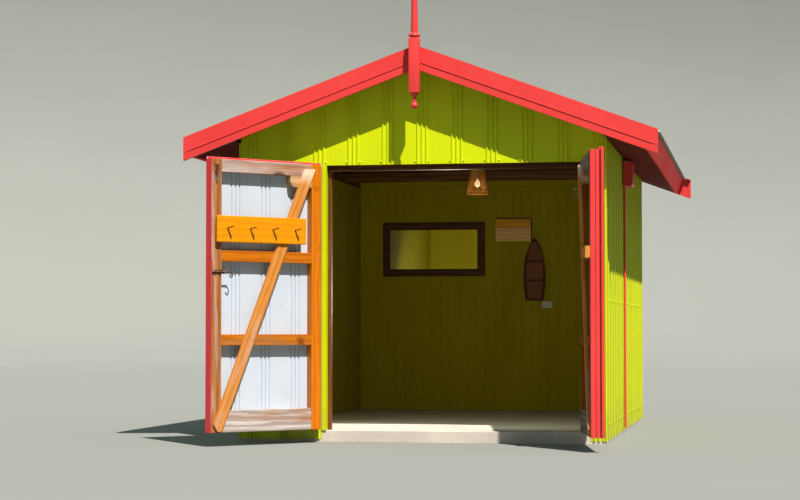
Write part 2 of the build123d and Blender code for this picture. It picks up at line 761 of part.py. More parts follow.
def door_sheet(side):
    outline = ribbed_outline(leaf_edge + trim_thick, timber_to, leaf_reach / 2)
    with BuildPart() as sheet:
        with BuildSketch(leaf_plan(side, leaf_low)):
            with BuildLine():
                Polyline(*[(side * x, -sheet_back - y) for x, y in outline], close=True)
            make_face()
        extrude(amount=leaf_high - leaf_low - trim_thick)
    return sheet.part


def door_timbers(side):
    """Stiles, rails and kick boards, each its own timber."""
    with BuildPart() as timbers:
        with BuildSketch(leaf_face(side, sheet_back)):
            for x in (timber_from + stile_wide / 2, timber_to - stile_wide / 2):
                with Locations((side * x, (leaf_low + timber_high) / 2)):
                    Rectangle(stile_wide, timber_high - leaf_low)
            mid = side * (timber_from + timber_to) / 2
            span = timber_to - timber_from - 2 * stile_wide - 2 * fit_gap
            with Locations((mid, timber_high - rail_tall / 2)):
                Rectangle(span, rail_tall)
            for z in rail_heights:
                with Locations((mid, floor_z + z + mid_rail_tall / 2)):
                    Rectangle(span, mid_rail_tall)
            for k in (0, 1):
                low = leaf_low + k * (kick_board_tall + fit_gap)
                with Locations((mid, low + kick_board_tall / 2)):
                    Rectangle(span, kick_board_tall)
        extrude(amount=door_timber)
        with BuildSketch(leaf_face(side, sheet_back)):
            x0 = timber_from + stile_wide + fit_gap
            z1 = timber_high - rail_tall - fit_gap
            with Locations((side * (x0 + gusset_long / 2), z1 - gusset_tall / 2)):
                Rectangle(gusset_long, gusset_tall)
            outer_end = vertices().group_by(Axis.X)[-1 if side > 0 else 0]
            fillet(outer_end.sort_by(Axis.Y)[0], gusset_tall / 2)
        extrude(amount=door_timber)
    return timbers.part


def door_brace(side):
    """Diagonal from the top hinge corner to the foot of the free stile, laid on the rails.
    Its upper end stays below the stop over the doorway."""
    x0 = timber_from + stile_wide + brace_top_inset
    x1 = timber_to - brace_foot_inset
    z0 = head_z - stop_thick - leaf_clear - 1
    z1 = leaf_low + brace_foot_lift
    half = brace_wide / 2 / sin(atan((z0 - z1) / (x1 - x0)))
    with BuildPart() as brace:
        with BuildSketch(leaf_face(side, timber_face)):
            with BuildLine():
                Polyline((side * (x0 - half), z0), (side * (x0 + half), z0),
                         (side * (x1 + half - brace_foot_cut * 0.4), z1 + brace_foot_cut),
                         (side * (x1 + half - brace_foot_cut), z1),
                         (side * (x1 - half), z1), close=True)
            make_face()
        extrude(amount=brace_thick)
        if side == 1:
            with BuildSketch(leaf_face(side, timber_face)):
                with Locations((timber_to - latch_block_long / 2,
                                floor_z + rail_heights[-1] + mid_rail_tall / 2)):
                    Rectangle(latch_block_long, mid_rail_tall)
            extrude(amount=latch_block_thick)
    return brace.part


def door_trim(side):
    """Folded steel frame round the sheet, turned in over the free edge and the top."""
    with BuildPart() as trim:
        with BuildSketch(leaf_face(side, band)):
            with Locations((side * (leaf_edge + leaf_reach) / 2, (leaf_low + leaf_high) / 2)):
                Rectangle(leaf_reach - leaf_edge, leaf_high - leaf_low)
                Rectangle(leaf_reach - leaf_edge - 2 * door_band,
                          leaf_high - leaf_low - 2 * door_band, mode=Mode.SUBTRACT)
        extrude(amount=trim_thick)
        with BuildSketch(leaf_face(side, band)):
            with Locations((side * (leaf_reach - trim_thick / 2), (leaf_low + timber_high) / 2)):
                Rectangle(trim_thick, timber_high - leaf_low)
        extrude(amount=timber_face - band)
        with BuildSketch(leaf_face(side, band)):
            with Locations((side * (leaf_reach - trim_thick / 2), (leaf_low + leaf_high) / 2)):
                Rectangle(trim_thick, leaf_high - leaf_low)
        extrude(amount=sheet_back - band)
        with BuildSketch(leaf_face(side, band)):
            with Locations((side * (leaf_edge + leaf_reach) / 2, leaf_high - trim_thick / 2)):
                Rectangle(leaf_reach - leaf_edge, trim_thick)
        extrude(amount=sheet_back - band)
    return trim.part


def wall_hinges(side):
    """The halves on the wall: end knuckles and pin on a flap, on a packer to the wall sheet."""
    third = hinge_tall / 3
    flap_from = knuckle_r + 1.5
    flap_depth = knuckle_r - plate_thick
    packer = front_y - hinge_y - flap_depth
    with BuildPart() as halves:
        for h in hinge_heights:
            plan = Plane(origin=(hinge_x[side], hinge_y, floor_z + h))
            for z in (0, hinge_tall - third):
                with BuildSketch(plan.offset(z)):
                    RegularPolygon(knuckle_r, round_sides)
                    with Locations((side * plate_wing / 2, flap_depth + plate_thick / 2)):
                        Rectangle(plate_wing, plate_thick)
                extrude(amount=third)
            with BuildSketch(plan):
                Circle(pin_r)
                with Locations((side * (flap_from + plate_wing) / 2, flap_depth + packer / 2)):
                    Rectangle(plate_wing - flap_from, packer)
            extrude(amount=hinge_tall)
    return halves.part


def door_hinges(side):
    """The halves on the leaf: a flap on the outer trim with the middle knuckle."""
    third = hinge_tall / 3
    bore = pin_r + pin_play
    flap_from = knuckle_r + 1.5
    flap_depth = knuckle_r - plate_thick / 2
    with BuildPart() as halves:
        for h in hinge_heights:
            with BuildSketch(leaf_plan(side, floor_z + h)):
                with Locations((side * (flap_from + plate_wing) / 2, -flap_depth)):
                    Rectangle(plate_wing - flap_from, plate_thick)
            extrude(amount=hinge_tall)
            with BuildSketch(leaf_plan(side, floor_z + h + third + pin_play)):
                RegularPolygon(knuckle_r, round_sides)
                with Locations((side * (flap_from + 2) / 2, -flap_depth)):
                    Rectangle(flap_from + 2, plate_thick)
                Circle(bore, mode=Mode.SUBTRACT)
            extrude(amount=third - 2 * pin_play)
    return halves.part


pieces = {}
for side, name in ((-1, "left"), (1, "right")):
    pieces[name + "_door_sheet"] = door_sheet(side)
    pieces[name + "_door_frame"] = door_timbers(side)
    pieces[name + "_door_brace"] = door_brace(side)
    pieces[name + "_door_trim"] = door_trim(side)
    pieces[name + "_door_hinges"] = door_hinges(side)
    pieces[name + "_hinge_plates"] = wall_hinges(side)

# Hook board and coat hooks on the left leaf
board_x0 = timber_from + stile_wide - 15
board_x1 = timber_to - 30
board_face = timber_face + brace_thick
board_low = floor_z + hook_board_base
with BuildPart() as hook_board:
    with BuildSketch(leaf_face(-1, board_face)):
        with Locations((-(board_x0 + board_x1) / 2, board_low + hook_board_tall / 2)):
            Rectangle(board_x1 - board_x0, hook_board_tall)
    extrude(amount=hook_board_thick)
    chamfer(hook_board.edges().group_by(Axis.Z)[-1], 2)
    with BuildSketch(leaf_face(-1, timber_face)):
        with Locations((-(board_x1 - 35), board_low + hook_board_tall / 2)):
            Rectangle(60, hook_board_tall - 20)
    extrude(amount=brace_thick)

hook_face = board_face + hook_board_thick
hook_plane = leaf_face(-1, hook_face)
with BuildPart() as coat_hooks:
    for i in range(hook_count):
        foot = hook_plane.from_local_coords((-(board_x0 + (i + 1) * hook_pitch),
                                             board_low + 0.36 * hook_board_tall - hook_leg,
                                             hook_wire / 2 + 0.2))
        up = Vector(0, 0, 1)
        bend = foot + up * (hook_leg + hook_rise)
        with BuildLine():
            route = FilletPolyline(foot, bend, bend + hook_plane.z_dir * hook_reach
                                   + up * 2 * hook_wire, radius=hook_bend)
        with BuildSketch(Plane(origin=foot, x_dir=hook_plane.x_dir, z_dir=up)):
            RegularPolygon(hook_wire / 2, 8)
        sweep(path=route)

# Bolts on the free stile of the left leaf: a tower bolt at the top and a slide bolt below
bolt_depth = timber_face + bolt_plate + bolt_r - 0.5
bolt_x = timber_to - stile_wide / 2
with BuildPart() as door_bolts:
    tower_low = timber_high - tower_bolt_drop
    with BuildSketch(leaf_face(-1, timber_face)):
        with Locations((-bolt_x, tower_low + tower_bolt_tall / 2)):
            Rectangle(tower_bolt_wide, tower_bolt_tall)
        with Locations((-(bolt_x - stile_wide / 5), floor_z + slide_bolt_height)):
            Rectangle(slide_bolt_long, slide_bolt_tall)
    extrude(amount=bolt_plate)
    with BuildSketch(leaf_plan(-1, tower_low - 2 * bolt_r)):
        with Locations((-bolt_x, -bolt_depth)):
            RegularPolygon(bolt_r, round_sides)
    extrude(amount=tower_bolt_tall + 2 * bolt_r)
    rod_end = leaf_face(-1, bolt_depth).from_local_coords(
        (-(timber_to - bolt_plate), floor_z + slide_bolt_height, 0))
    with BuildSketch(Plane(origin=rod_end, z_dir=leaf_face(-1, 0).x_dir)):
        RegularPolygon(bolt_r, round_sides)
    extrude(amount=1.6 * slide_bolt_long)

# Strip on the outer face of the right leaf, over the joint between the closed leaves
with BuildPart() as cover_strip:
    with BuildSketch(leaf_face(1, band)):
        with Locations((leaf_reach - cover_strip_wide / 2, (leaf_low + leaf_high) / 2)):
            Rectangle(cover_strip_wide, leaf_high - leaf_low)
    extrude(amount=-cover_strip_thick)
    chamfer(cover_strip.edges().filter_by(Axis.Z), 3)

with BuildPart() as right_hook:
    hook_x = timber_from + 0.5 * stile_wide
    with BuildSketch(leaf_face(1, timber_face)):
        with Locations((hook_x, floor_z + wall_hook_height)):
            Rectangle(6 * wall_hook_r, 15 * wall_hook_r)
    extrude(amount=bolt_plate)
    with BuildSketch(leaf_face(1, timber_face)):
        with Locations((hook_x, floor_z + wall_hook_height)):
            RegularPolygon(wall_hook_r, round_sides)
    extrude(amount=wall_hook_long)

for name, built in (
        ("floor_slab", floor_slab), ("side_wall_frames", wall_frames),
        ("back_wall_frame", back_frame), ("front_wall_frame", front_frame),
        ("gable_studs", gable_studs), ("door_stops", door_stops),
        ("opening_trims", opening_trims), ("right_wall_cladding", right_cladding),
        ("left_wall_cladding", left_cladding), ("front_gable_cladding", front_gable),
        ("front_pier_cladding", front_piers), ("back_wall_cladding", back_cladding),
        ("corner_trims", corner_trims), ("right_wall_lining", right_lining),
        ("left_wall_lining", left_lining), ("back_wall_lining", back_lining),
        ("front_wall_lining", front_lining), ("ridge_beam", ridge_beam), ("rafters", rafters),
        ("tie_beams", tie_beams), ("purlins", purlins), ("right_roof_sheet", right_sheet),
        ("left_roof_sheet", left_sheet), ("ridge_cap", ridge_cap), ("eave_fascias", eave_fascias),
        ("eave_linings", eave_linings), ("front_barges", front_barges),
        ("rear_barges", rear_barges), ("barge_caps", barge_caps), ("finial", finial),
        ("meter_box", meter_box), ("conduit", conduit), ("lamp_shade", lamp_shade),
        ("lamp_bulb", lamp_bulb), ("mirror_frame", mirror_frame), ("mirror_glass", mirror_glass),
        ("wall_panel", wall_panel), ("boat_shelf", boat_shelf),
        ("power_outlet", power_outlet), ("hook_board", hook_board),
        ("coat_hooks", coat_hooks), ("door_bolts", door_bolts), ("right_hook", right_hook),
        ("door_cover_strip", cover_strip)):
    pieces[name] = built.part

os.makedirs("parts", exist_ok=True)
for name, piece in pieces.items():
    piece.label = name
    export_step(piece, "parts/" + name + ".step")
print(len(pieces), "nodes")
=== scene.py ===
import json
import math

import bpy
from mathutils import Matrix, Vector


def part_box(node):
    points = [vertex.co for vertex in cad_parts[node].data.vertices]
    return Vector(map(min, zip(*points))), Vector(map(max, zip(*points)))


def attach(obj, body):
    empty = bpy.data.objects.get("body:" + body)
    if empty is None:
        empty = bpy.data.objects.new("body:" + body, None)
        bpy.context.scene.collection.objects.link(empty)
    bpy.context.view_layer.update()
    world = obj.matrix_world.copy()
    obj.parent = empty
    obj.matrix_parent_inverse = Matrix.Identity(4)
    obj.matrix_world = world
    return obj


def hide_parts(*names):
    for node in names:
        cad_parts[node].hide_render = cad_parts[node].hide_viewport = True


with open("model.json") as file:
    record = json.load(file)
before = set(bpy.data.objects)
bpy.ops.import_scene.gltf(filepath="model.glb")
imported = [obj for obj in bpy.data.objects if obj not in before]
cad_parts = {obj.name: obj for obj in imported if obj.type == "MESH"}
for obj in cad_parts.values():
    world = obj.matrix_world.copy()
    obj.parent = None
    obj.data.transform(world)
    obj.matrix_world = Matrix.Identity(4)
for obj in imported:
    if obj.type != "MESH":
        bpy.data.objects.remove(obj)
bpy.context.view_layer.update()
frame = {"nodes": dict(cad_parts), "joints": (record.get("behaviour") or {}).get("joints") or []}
nodes = frame["nodes"]
joints = {joint["child"]: joint for joint in frame["joints"]}

# Sizes shared with the CAD, in metres
head_z = 2.39                    # underside of the gable sheet, over the doorway
front_y = -2.45                  # outer face of the front ribs
side_x = 1.6                     # outer face of the side ribs
pan_depth = 0.010                # from the rib crests back to the pans
opening_left, opening_right = -0.82, 1.418
cluster_pitch = 0.302            # between clusters of ribs
cluster_shift = 0.020            # of the front sheets, to the right
roof_slope = 0.368
slope_angle = math.atan(roof_slope)
slope_cos, slope_sin = math.cos(slope_angle), math.sin(slope_angle)
wave_pitch = 0.076
wave_depth = 0.016
sheet_thick = 0.002
timber_from, timber_to = 0.053, 1.159      # along a leaf, from its hinge line
stile_wide = 0.1
sheet_back = 0.022                         # depth of the sheet's back from the hinge line
timber_face = 0.092                        # depth of the timbers' inner face
leaf_low, timber_high, leaf_high = 0.115, 2.385, 2.405
leaf_reach = 1.161                         # to the trim's outer face
rail_low = (0.835, 1.532)                  # lower edges of the middle rails
mid_rail_tall = 0.092
rail_tall = 0.108                          # top rail
kick_tall = 0.092
board_low, board_tall = 1.69, 0.222        # hook board
board_thick = 0.022
brace_thick = 0.022
rail_gap = 0.0003                          # between timbers that meet

# Colours, as linear values
LIME = (0.55, 0.65, 0.002)
LIME_DEEP = (0.40, 0.50, 0.001)
LIME_SIDE = (0.42, 0.49, 0.002)
LIME_SIDE_DEEP = (0.31, 0.38, 0.001)
OLIVE = (0.36, 0.285, 0.004)
RED = (0.68, 0.050, 0.048)
RED_DEEP = (0.50, 0.024, 0.026)
# Red of the eave boards darkened to maroon: painted shade under the eaves.
SHADED_MAROON = (0.15, 0.004, 0.007)
ORANGE_LIGHT = (0.57, 0.170, 0.003)
ORANGE_DARK = (0.46, 0.115, 0.002)
RAIL_LIGHT = (0.50, 0.150, 0.003)
RAIL_DARK = (0.34, 0.085, 0.002)
TAN_LIGHT = (0.38, 0.155, 0.045)
TAN_DARK = (0.20, 0.066, 0.014)
GREY_LIGHT = (0.52, 0.46, 0.44)
GREY_DARK = (0.25, 0.21, 0.185)
BROWN_LIGHT = (0.17, 0.058, 0.010)
BROWN_DARK = (0.045, 0.014, 0.004)
STEEL = (0.50, 0.51, 0.52)
RUST = (0.14, 0.045, 0.018)
SHEET_BACK = (0.48, 0.55, 0.63)

# Turns of a grain that runs along X
GRAIN_UP = (0, math.pi / 2, 0)
GRAIN_BACK = (0, 0, math.pi / 2)


class Finish:
    """A procedural material: small helpers over one node tree with a Principled shader."""

    def __init__(self, name, roughness=0.5, **sockets):
        self.material = bpy.data.materials.new(name)
        self.material.use_nodes = True
        self.tree = self.material.node_tree
        self.tree.nodes.clear()
        output = self.tree.nodes.new("ShaderNodeOutputMaterial")
        self.shader = self.tree.nodes.new("ShaderNodeBsdfPrincipled")
        self.link(self.shader.outputs["BSDF"], output.inputs["Surface"])
        self.shader.inputs["Roughness"].default_value = roughness
        for socket, value in sockets.items():
            self.shader.inputs[socket.replace("_", " ")].default_value = value
        self.coords = self.tree.nodes.new("ShaderNodeTexCoord")

    def link(self, source, target):
        self.tree.links.new(source, target)

    def place(self, turn=(0, 0, 0), stretch=(1, 1, 1), shift=(0, 0, 0)):
        """Object coordinates, turned to the grain and stretched along it."""
        node = self.tree.nodes.new("ShaderNodeMapping")
        node.vector_type = "TEXTURE"
        node.inputs["Location"].default_value = shift
        node.inputs["Rotation"].default_value = turn
        node.inputs["Scale"].default_value = stretch
        self.link(self.coords.outputs["Object"], node.inputs["Vector"])
        return node.outputs["Vector"]

    def noise(self, place, scale, detail=4, rough=0.55, distort=0.0):
        """Cloudy noise, 0..1. Scale is in patches a metre."""
        node = self.tree.nodes.new("ShaderNodeTexNoise")
        node.inputs["Scale"].default_value = scale
        node.inputs["Detail"].default_value = detail
        node.inputs["Roughness"].default_value = rough
        node.inputs["Distortion"].default_value = distort
        self.link(place, node.inputs["Vector"])
        return node.outputs["Fac"]

    def waves(self, place, scale, distort=0.0, detail=2, axis="X", rough_scale=1.0):
        """Bands across an axis, 0..1, which wander where they are distorted."""
        node = self.tree.nodes.new("ShaderNodeTexWave")
        node.bands_direction = axis
        node.inputs["Scale"].default_value = scale
        node.inputs["Distortion"].default_value = distort
        node.inputs["Detail"].default_value = detail
        node.inputs["Detail Scale"].default_value = rough_scale
        self.link(place, node.inputs["Vector"])
        return node.outputs["Fac"]

    def ramp(self, value, stops):
        """Maps 0..1 to numbers or colours given as (place, value) stops."""
        node = self.tree.nodes.new("ShaderNodeValToRGB")
        ramp = node.color_ramp
        while len(ramp.elements) < len(stops):
            ramp.elements.new(0.5)
        for element, (at, tone) in zip(ramp.elements, stops):
            element.position = at
            element.color = (*tone, 1) if isinstance(tone, tuple) else (tone, tone, tone, 1)
        self.link(value, node.inputs["Fac"])
        return node.outputs["Color"]

    def mix(self, share, low, high):
        """Blends two tones by a share. Each may be a value or a socket."""
        node = self.tree.nodes.new("ShaderNodeMix")
        node.data_type = "RGBA"
        for socket, value in ((node.inputs[0], share), (node.inputs[6], low), (node.inputs[7], high)):
            if isinstance(value, bpy.types.NodeSocket):
                self.link(value, socket)
            elif isinstance(value, tuple):
                socket.default_value = (*value, 1)
            else:
                socket.default_value = value
        return node.outputs[2]

    def math(self, how, first, second=0.0):
        node = self.tree.nodes.new("ShaderNodeMath")
        node.operation = how
        for socket, value in zip(node.inputs, (first, second)):
            if isinstance(value, bpy.types.NodeSocket):
                self.link(value, socket)
            else:
                socket.default_value = value
        return node.outputs["Value"]

    def height(self, low, high, axis="Z"):
        """0 below the first height above the ground, 1 above the second. Another axis works the same."""
        split = self.tree.nodes.new("ShaderNodeSeparateXYZ")
        self.link(self.coords.outputs["Object"], split.inputs["Vector"])
        node = self.tree.nodes.new("ShaderNodeMapRange")
        node.inputs["From Min"].default_value = low
        node.inputs["From Max"].default_value = high
        self.link(split.outputs[axis], node.inputs["Value"])
        return node.outputs["Result"]

    def facing(self, direction):
        """1 on faces that look along a direction of the object, 0 on the others."""
        node = self.tree.nodes.new("ShaderNodeVectorMath")
        node.operation = "DOT_PRODUCT"
        self.link(self.coords.outputs["Normal"], node.inputs[0])
        node.inputs[1].default_value = direction
        return self.math("GREATER_THAN", node.outputs["Value"], 0.35)

    def bump(self, value, distance, strength=1.0):
        """Relief from a pattern, on top of any relief that is there."""
        node = self.tree.nodes.new("ShaderNodeBump")
        node.inputs["Distance"].default_value = distance
        node.inputs["Strength"].default_value = strength
        self.link(value, node.inputs["Height"])
        last = self.shader.inputs["Normal"]
        if last.is_linked:
            self.link(last.links[0].from_socket, node.inputs["Normal"])
        self.link(node.outputs["Normal"], last)

    def colour(self, tone):
        self.link(tone, self.shader.inputs["Base Color"])
        return self.material

    def rough(self, value, low, high):
        """Roughness between two values, by a pattern."""
        self.link(self.ramp(value, ((0.3, low), (0.7, high))), self.shader.inputs["Roughness"])


def painted(name, tone, deep, turn=0.0, minor_ribs=False, dirt=0.45, back=None, rough=(0.26, 0.46)):
    """Baked enamel on steel: soft mottling, rain streaks, splashed dirt low down.

    Back is (direction, tone) of a sheet's other side, which has no colour coat."""
    finish = Finish(name, Specular_IOR_Level=0.3)
    plain = finish.place()
    streak_place = finish.place(stretch=(1, 1, 14))
    mottle = finish.noise(plain, 1.6, 5)
    streaks = finish.noise(streak_place, 9.0, 4, 0.6)
    tone_now = finish.mix(finish.ramp(mottle, ((0.35, 0.0), (0.75, 0.38))), tone, deep)
    tone_now = finish.mix(finish.ramp(streaks, ((0.52, 0.0), (0.85, 0.30))), tone_now, deep)
    grime = finish.noise(plain, 7.0, 6, 0.65)
    splash = finish.math("MULTIPLY", finish.ramp(finish.height(0.0, 0.42), ((0.0, dirt), (0.9, 0.0))),
                         finish.ramp(grime, ((0.35, 0.15), (0.65, 1.0))))
    tone_now = finish.mix(splash, tone_now, (0.16, 0.13, 0.07))
    if back:
        direction, back_tone = back
        scuffs = finish.ramp(finish.noise(plain, 5.0, 5), ((0.45, 0.0), (0.8, 0.25)))
        inner = finish.mix(scuffs, back_tone, tuple(0.7 * c for c in back_tone))
        drips = finish.ramp(finish.noise(finish.place(stretch=(1, 1, 30)), 60.0, 3), ((0.6, 0.0), (0.8, 0.2)))
        inner = finish.mix(drips, inner, (0.30, 0.27, 0.24))
        tone_now = finish.mix(finish.facing(direction), tone_now, inner)
    finish.rough(grime, *rough)
    if minor_ribs:
        across = finish.place(turn=(0, 0, turn))
        finish.bump(finish.waves(across, math.tau / 20 / (cluster_pitch / 8)), 0.0012, 0.5)
    finish.bump(finish.noise(plain, 180.0, 2), 0.0002, 0.35)
    finish.bump(mottle, 0.01, 0.10)
    return finish.colour(tone_now)


def wood(name, light, dark, turn=(0, 0, 0), shift=(0, 0, 0), worn=None, worn_share=0.0,
         rough=(0.35, 0.6), coat=0.0, grain=0.0006, washed=None):
    """Sawn softwood: growth rings and fibres that run along the turned X, with worn patches.

    Washed is (from height, to height, tone) of an upper end bleached by rain."""
    finish = Finish(name, Coat_Weight=coat, Coat_Roughness=0.22, Specular_IOR_Level=0.2)
    fibres_place = finish.place(turn, (22, 1, 1), shift)
    rings_place = finish.place(turn, (7, 1, 1), shift)
    plain = finish.place(shift=shift)
    fibres = finish.noise(fibres_place, 95.0, 6, 0.65)
    rings = finish.waves(rings_place, 5.5, 7.0, 3, "Z", 1.6)
    patches = finish.noise(rings_place, 5.0, 4, 0.6, 0.8)
    tone = finish.mix(finish.ramp(rings, ((0.25, 0.0), (0.85, 0.75))), light, dark)
    tone = finish.mix(finish.ramp(fibres, ((0.42, 0.0), (0.72, 0.6))), tone, dark)
    if worn:
        share = finish.ramp(patches, ((0.62 - worn_share * 0.5, 0.0), (0.82 - worn_share * 0.5, 1.0)))
        worn_tone = finish.mix(finish.ramp(fibres, ((0.35, 0.0), (0.7, 1.0))), worn,
                               tuple(0.5 * c for c in worn))
        tone = finish.mix(share, tone, worn_tone)
    if washed:
        blotches = finish.ramp(patches, ((0.3, 0.45), (0.6, 1.0)))
        share = finish.math("MULTIPLY", finish.height(*washed[:2]), blotches)
        tone = finish.mix(share, tone, washed[2])
    knots = finish.noise(finish.place(turn, (1.8, 1, 1), shift), 5.2, 1, 0.4)
    tone = finish.mix(finish.ramp(knots, ((0.735, 0.0), (0.77, 0.8))), tone,
                      tuple(0.35 * c for c in dark))
    finish.rough(patches, *rough)
    finish.bump(fibres, grain, 0.8)
    finish.bump(rings, grain * 0.7, 0.4)
    finish.bump(finish.noise(plain, 14.0, 3), 0.002, 0.15)
    return finish.colour(tone)


def gloss_timber(name, tone, deep, turn=(0, 0, 0), bare=None, rough=(0.3, 0.5), shine=0.35):
    """Brushed paint on timber, with brush marks, and chips down to the bare wood where it has a tone."""
    finish = Finish(name, Specular_IOR_Level=shine)
    brush = finish.noise(finish.place(turn, (40, 1, 1)), 160.0, 3, 0.6)
    patches = finish.noise(finish.place(turn, (4, 1, 1)), 3.0, 5, 0.6)
    tone_now = finish.mix(finish.ramp(patches, ((0.35, 0.0), (0.8, 0.7))), tone, deep)
    tone_now = finish.mix(finish.ramp(brush, ((0.45, 0.0), (0.8, 0.25))), tone_now, deep)
    if bare:
        chips = finish.ramp(finish.noise(finish.place(turn, (3, 1, 1)), 26.0, 6, 0.7),
                            ((0.70, 0.0), (0.72, 1.0)))
        tone_now = finish.mix(chips, tone_now, bare)
    finish.rough(patches, *rough)
    finish.bump(brush, 0.0004, 0.5)
    finish.bump(finish.noise(finish.place(), 11.0, 3), 0.002, 0.12)
    return finish.colour(tone_now)


def metal(name, tone, stain, stain_share=0.3, rough=(0.3, 0.6), metallic=0.9):
    """Weathered steel: spangle, stains and fine pitting."""
    finish = Finish(name, Metallic=metallic)
    plain = finish.place()
    spangle = finish.noise(plain, 42.0, 2, 0.4)
    stains = finish.noise(plain, 16.0, 6, 0.65)
    tone_now = finish.mix(finish.ramp(spangle, ((0.3, 0.0), (0.7, 0.5))), tone,
                          tuple(0.72 * c for c in tone))
    tone_now = finish.mix(finish.ramp(stains, ((0.72 - stain_share * 0.4, 0.0),
                                               (0.84 - stain_share * 0.4, 1.0))), tone_now, stain)
    finish.rough(stains, *rough)
    finish.bump(finish.noise(plain, 320.0, 3), 0.0003, 0.5)
    return finish.colour(tone_now)


def concrete(name):
    """Clouded, gritty concrete with small pits."""
    finish = Finish(name, roughness=0.85)
    plain = finish.place()
    cloud = finish.noise(plain, 2.2, 6, 0.6)
    grit = finish.noise(plain, 130.0, 3, 0.7)
    pits = finish.noise(plain, 46.0, 4, 0.7)
    tone = finish.mix(finish.ramp(cloud, ((0.3, 0.0), (0.7, 1.0))), (0.60, 0.56, 0.49), (0.44, 0.40, 0.35))
    tone = finish.mix(finish.ramp(grit, ((0.5, 0.0), (0.75, 0.5))), tone, (0.14, 0.13, 0.11))
    tone = finish.mix(finish.ramp(pits, ((0.63, 0.0), (0.70, 0.6))), tone, (0.20, 0.18, 0.15))
    finish.bump(grit, 0.0015, 0.6)
    finish.bump(pits, 0.003, 0.4)
    return finish.colour(tone)


def leaf_matrix(side):
    """Frame of a leaf: X along it, Y to its inner face, Z up. Side is -1 left, 1 right."""
    joint = joints[{-1: "left_door", 1: "right_door"}[side]]
    opened = math.radians(-joint["range_deg"][0])
    along = Vector((math.cos(opened), side * math.sin(opened), 0))
    inward = Vector((-side * math.sin(opened), math.cos(opened), 0))
    placed = Matrix((along, inward, (0, 0, 1))).transposed().to_4x4()
    placed.translation = (*joint["pos_m"][:2], 0)
    return placed


leaf_frames = {side: leaf_matrix(side) for side in (-1, 1)}
leaf_turn = {side: leaf_frames[side].to_euler().z for side in (-1, 1)}
leaf_names = {-1: "left_door", 1: "right_door"}


def only(obj):
    """Leaves one object selected and active."""
    bpy.ops.object.select_all(action="DESELECT")
    obj.select_set(True)
    bpy.context.view_layer.objects.active = obj


def apply_place(obj):
    """Moves an object's place, turn and size into its mesh."""
    only(obj)
    bpy.ops.object.transform_apply(location=True, rotation=True, scale=True)


def apply_modifier(obj, kind, **values):
    """Adds a modifier with its values and applies it."""
    only(obj)
    modifier = obj.modifiers.new(kind.title(), kind)
    for key, value in values.items():
        setattr(modifier, key, value)
    bpy.ops.object.modifier_apply(modifier=modifier.name)


def mesh_object(name, corners, edges, faces):
    """A new object from corners and what joins them."""
    mesh = bpy.data.meshes.new(name)
    mesh.from_pydata(corners, edges, faces)
    obj = bpy.data.objects.new(name, mesh)
    bpy.context.scene.collection.objects.link(obj)
    return obj


def aligned_faces(obj, inward=False, weld=0.0):
    """Turns all faces one way, after corners nearer than weld are made one."""
    only(obj)
    bpy.ops.object.mode_set(mode="EDIT")
    bpy.ops.mesh.select_all(action="SELECT")
    if weld:
        bpy.ops.mesh.remove_doubles(threshold=weld)
    bpy.ops.mesh.normals_make_consistent(inside=inward)
    bpy.ops.object.mode_set(mode="OBJECT")


def board(low, high, edge=0.003, segments=2):
    """A board between two corners, with eased edges."""
    low, high = Vector(low), Vector(high)
    bpy.ops.object.select_all(action="DESELECT")
    bpy.ops.mesh.primitive_cube_add(size=1, location=(low + high) / 2, scale=high - low)
    obj = bpy.context.object
    apply_place(obj)
    apply_modifier(obj, "BEVEL", width=edge, segments=segments, limit_method="ANGLE")
    return obj


def leaf_board(side, along, depth, height, edge=0.003):
    """A board in a leaf's frame, by its ranges along the leaf, in depth and in height."""
    x0, x1 = sorted(-side * x for x in along)
    obj = board((x0, depth[0], height[0]), (x1, depth[1], height[1]), edge)
    obj.matrix_world = leaf_frames[side]
    apply_place(obj)
    return obj


def leaf_point(side, along, depth, height):
    """A point of the hut's frame, from its place in a leaf's frame."""
    return leaf_frames[side] @ Vector((-side * along, depth, height))


def leaf_plate(side, outline, depth):
    """A plate in a leaf's frame, cut to an outline of (along, height) corners."""
    count = len(outline)
    corners = [(-side * along, level, height) for level in depth for along, height in outline]
    faces = [tuple(range(count)), tuple(range(2 * count - 1, count - 1, -1))]
    faces += [(i, i + count, (i + 1) % count + count, (i + 1) % count) for i in range(count)]
    obj = mesh_object("plate", corners, [], faces)
    aligned_faces(obj)
    apply_modifier(obj, "BEVEL", width=0.003, segments=2, limit_method="ANGLE")
    obj.matrix_world = leaf_frames[side]
    apply_place(obj)
    return obj


def spun(name, profile, at, steps, inward=False):
    """A turned shape from (radius, height) stops about a standing axis."""
    obj = mesh_object(name, [(r, 0, z) for r, z in profile],
                      [(i, i + 1) for i in range(len(profile) - 1)], [])
    apply_modifier(obj, "SCREW", axis="Z", angle=math.tau, steps=steps, render_steps=steps,
                   use_merge_vertices=True, merge_threshold=1e-5, use_smooth_shade=False)
    aligned_faces(obj, inward, 1e-5)
    obj.location = at
    apply_place(obj)
    return obj


def copies(pattern, places):
    """One mesh of a pattern's mesh repeated at many places. The pattern itself goes."""
    corners = [v.co.copy() for v in pattern.data.vertices]
    faces = [tuple(p.vertices) for p in pattern.data.polygons]
    all_corners, all_faces = [], []
    for place in places:
        start = len(all_corners)
        all_corners += [place @ c for c in corners]
        all_faces += [tuple(start + i for i in face) for face in faces]
    bpy.data.objects.remove(pattern)
    return mesh_object("copies", all_corners, [], all_faces)


def joined(parts):
    """Several finished pieces as one mesh."""
    bpy.ops.object.select_all(action="DESELECT")
    for part in parts:
        part.select_set(True)
    bpy.context.view_layer.objects.active = parts[0]
    bpy.ops.object.join()
    return bpy.context.object


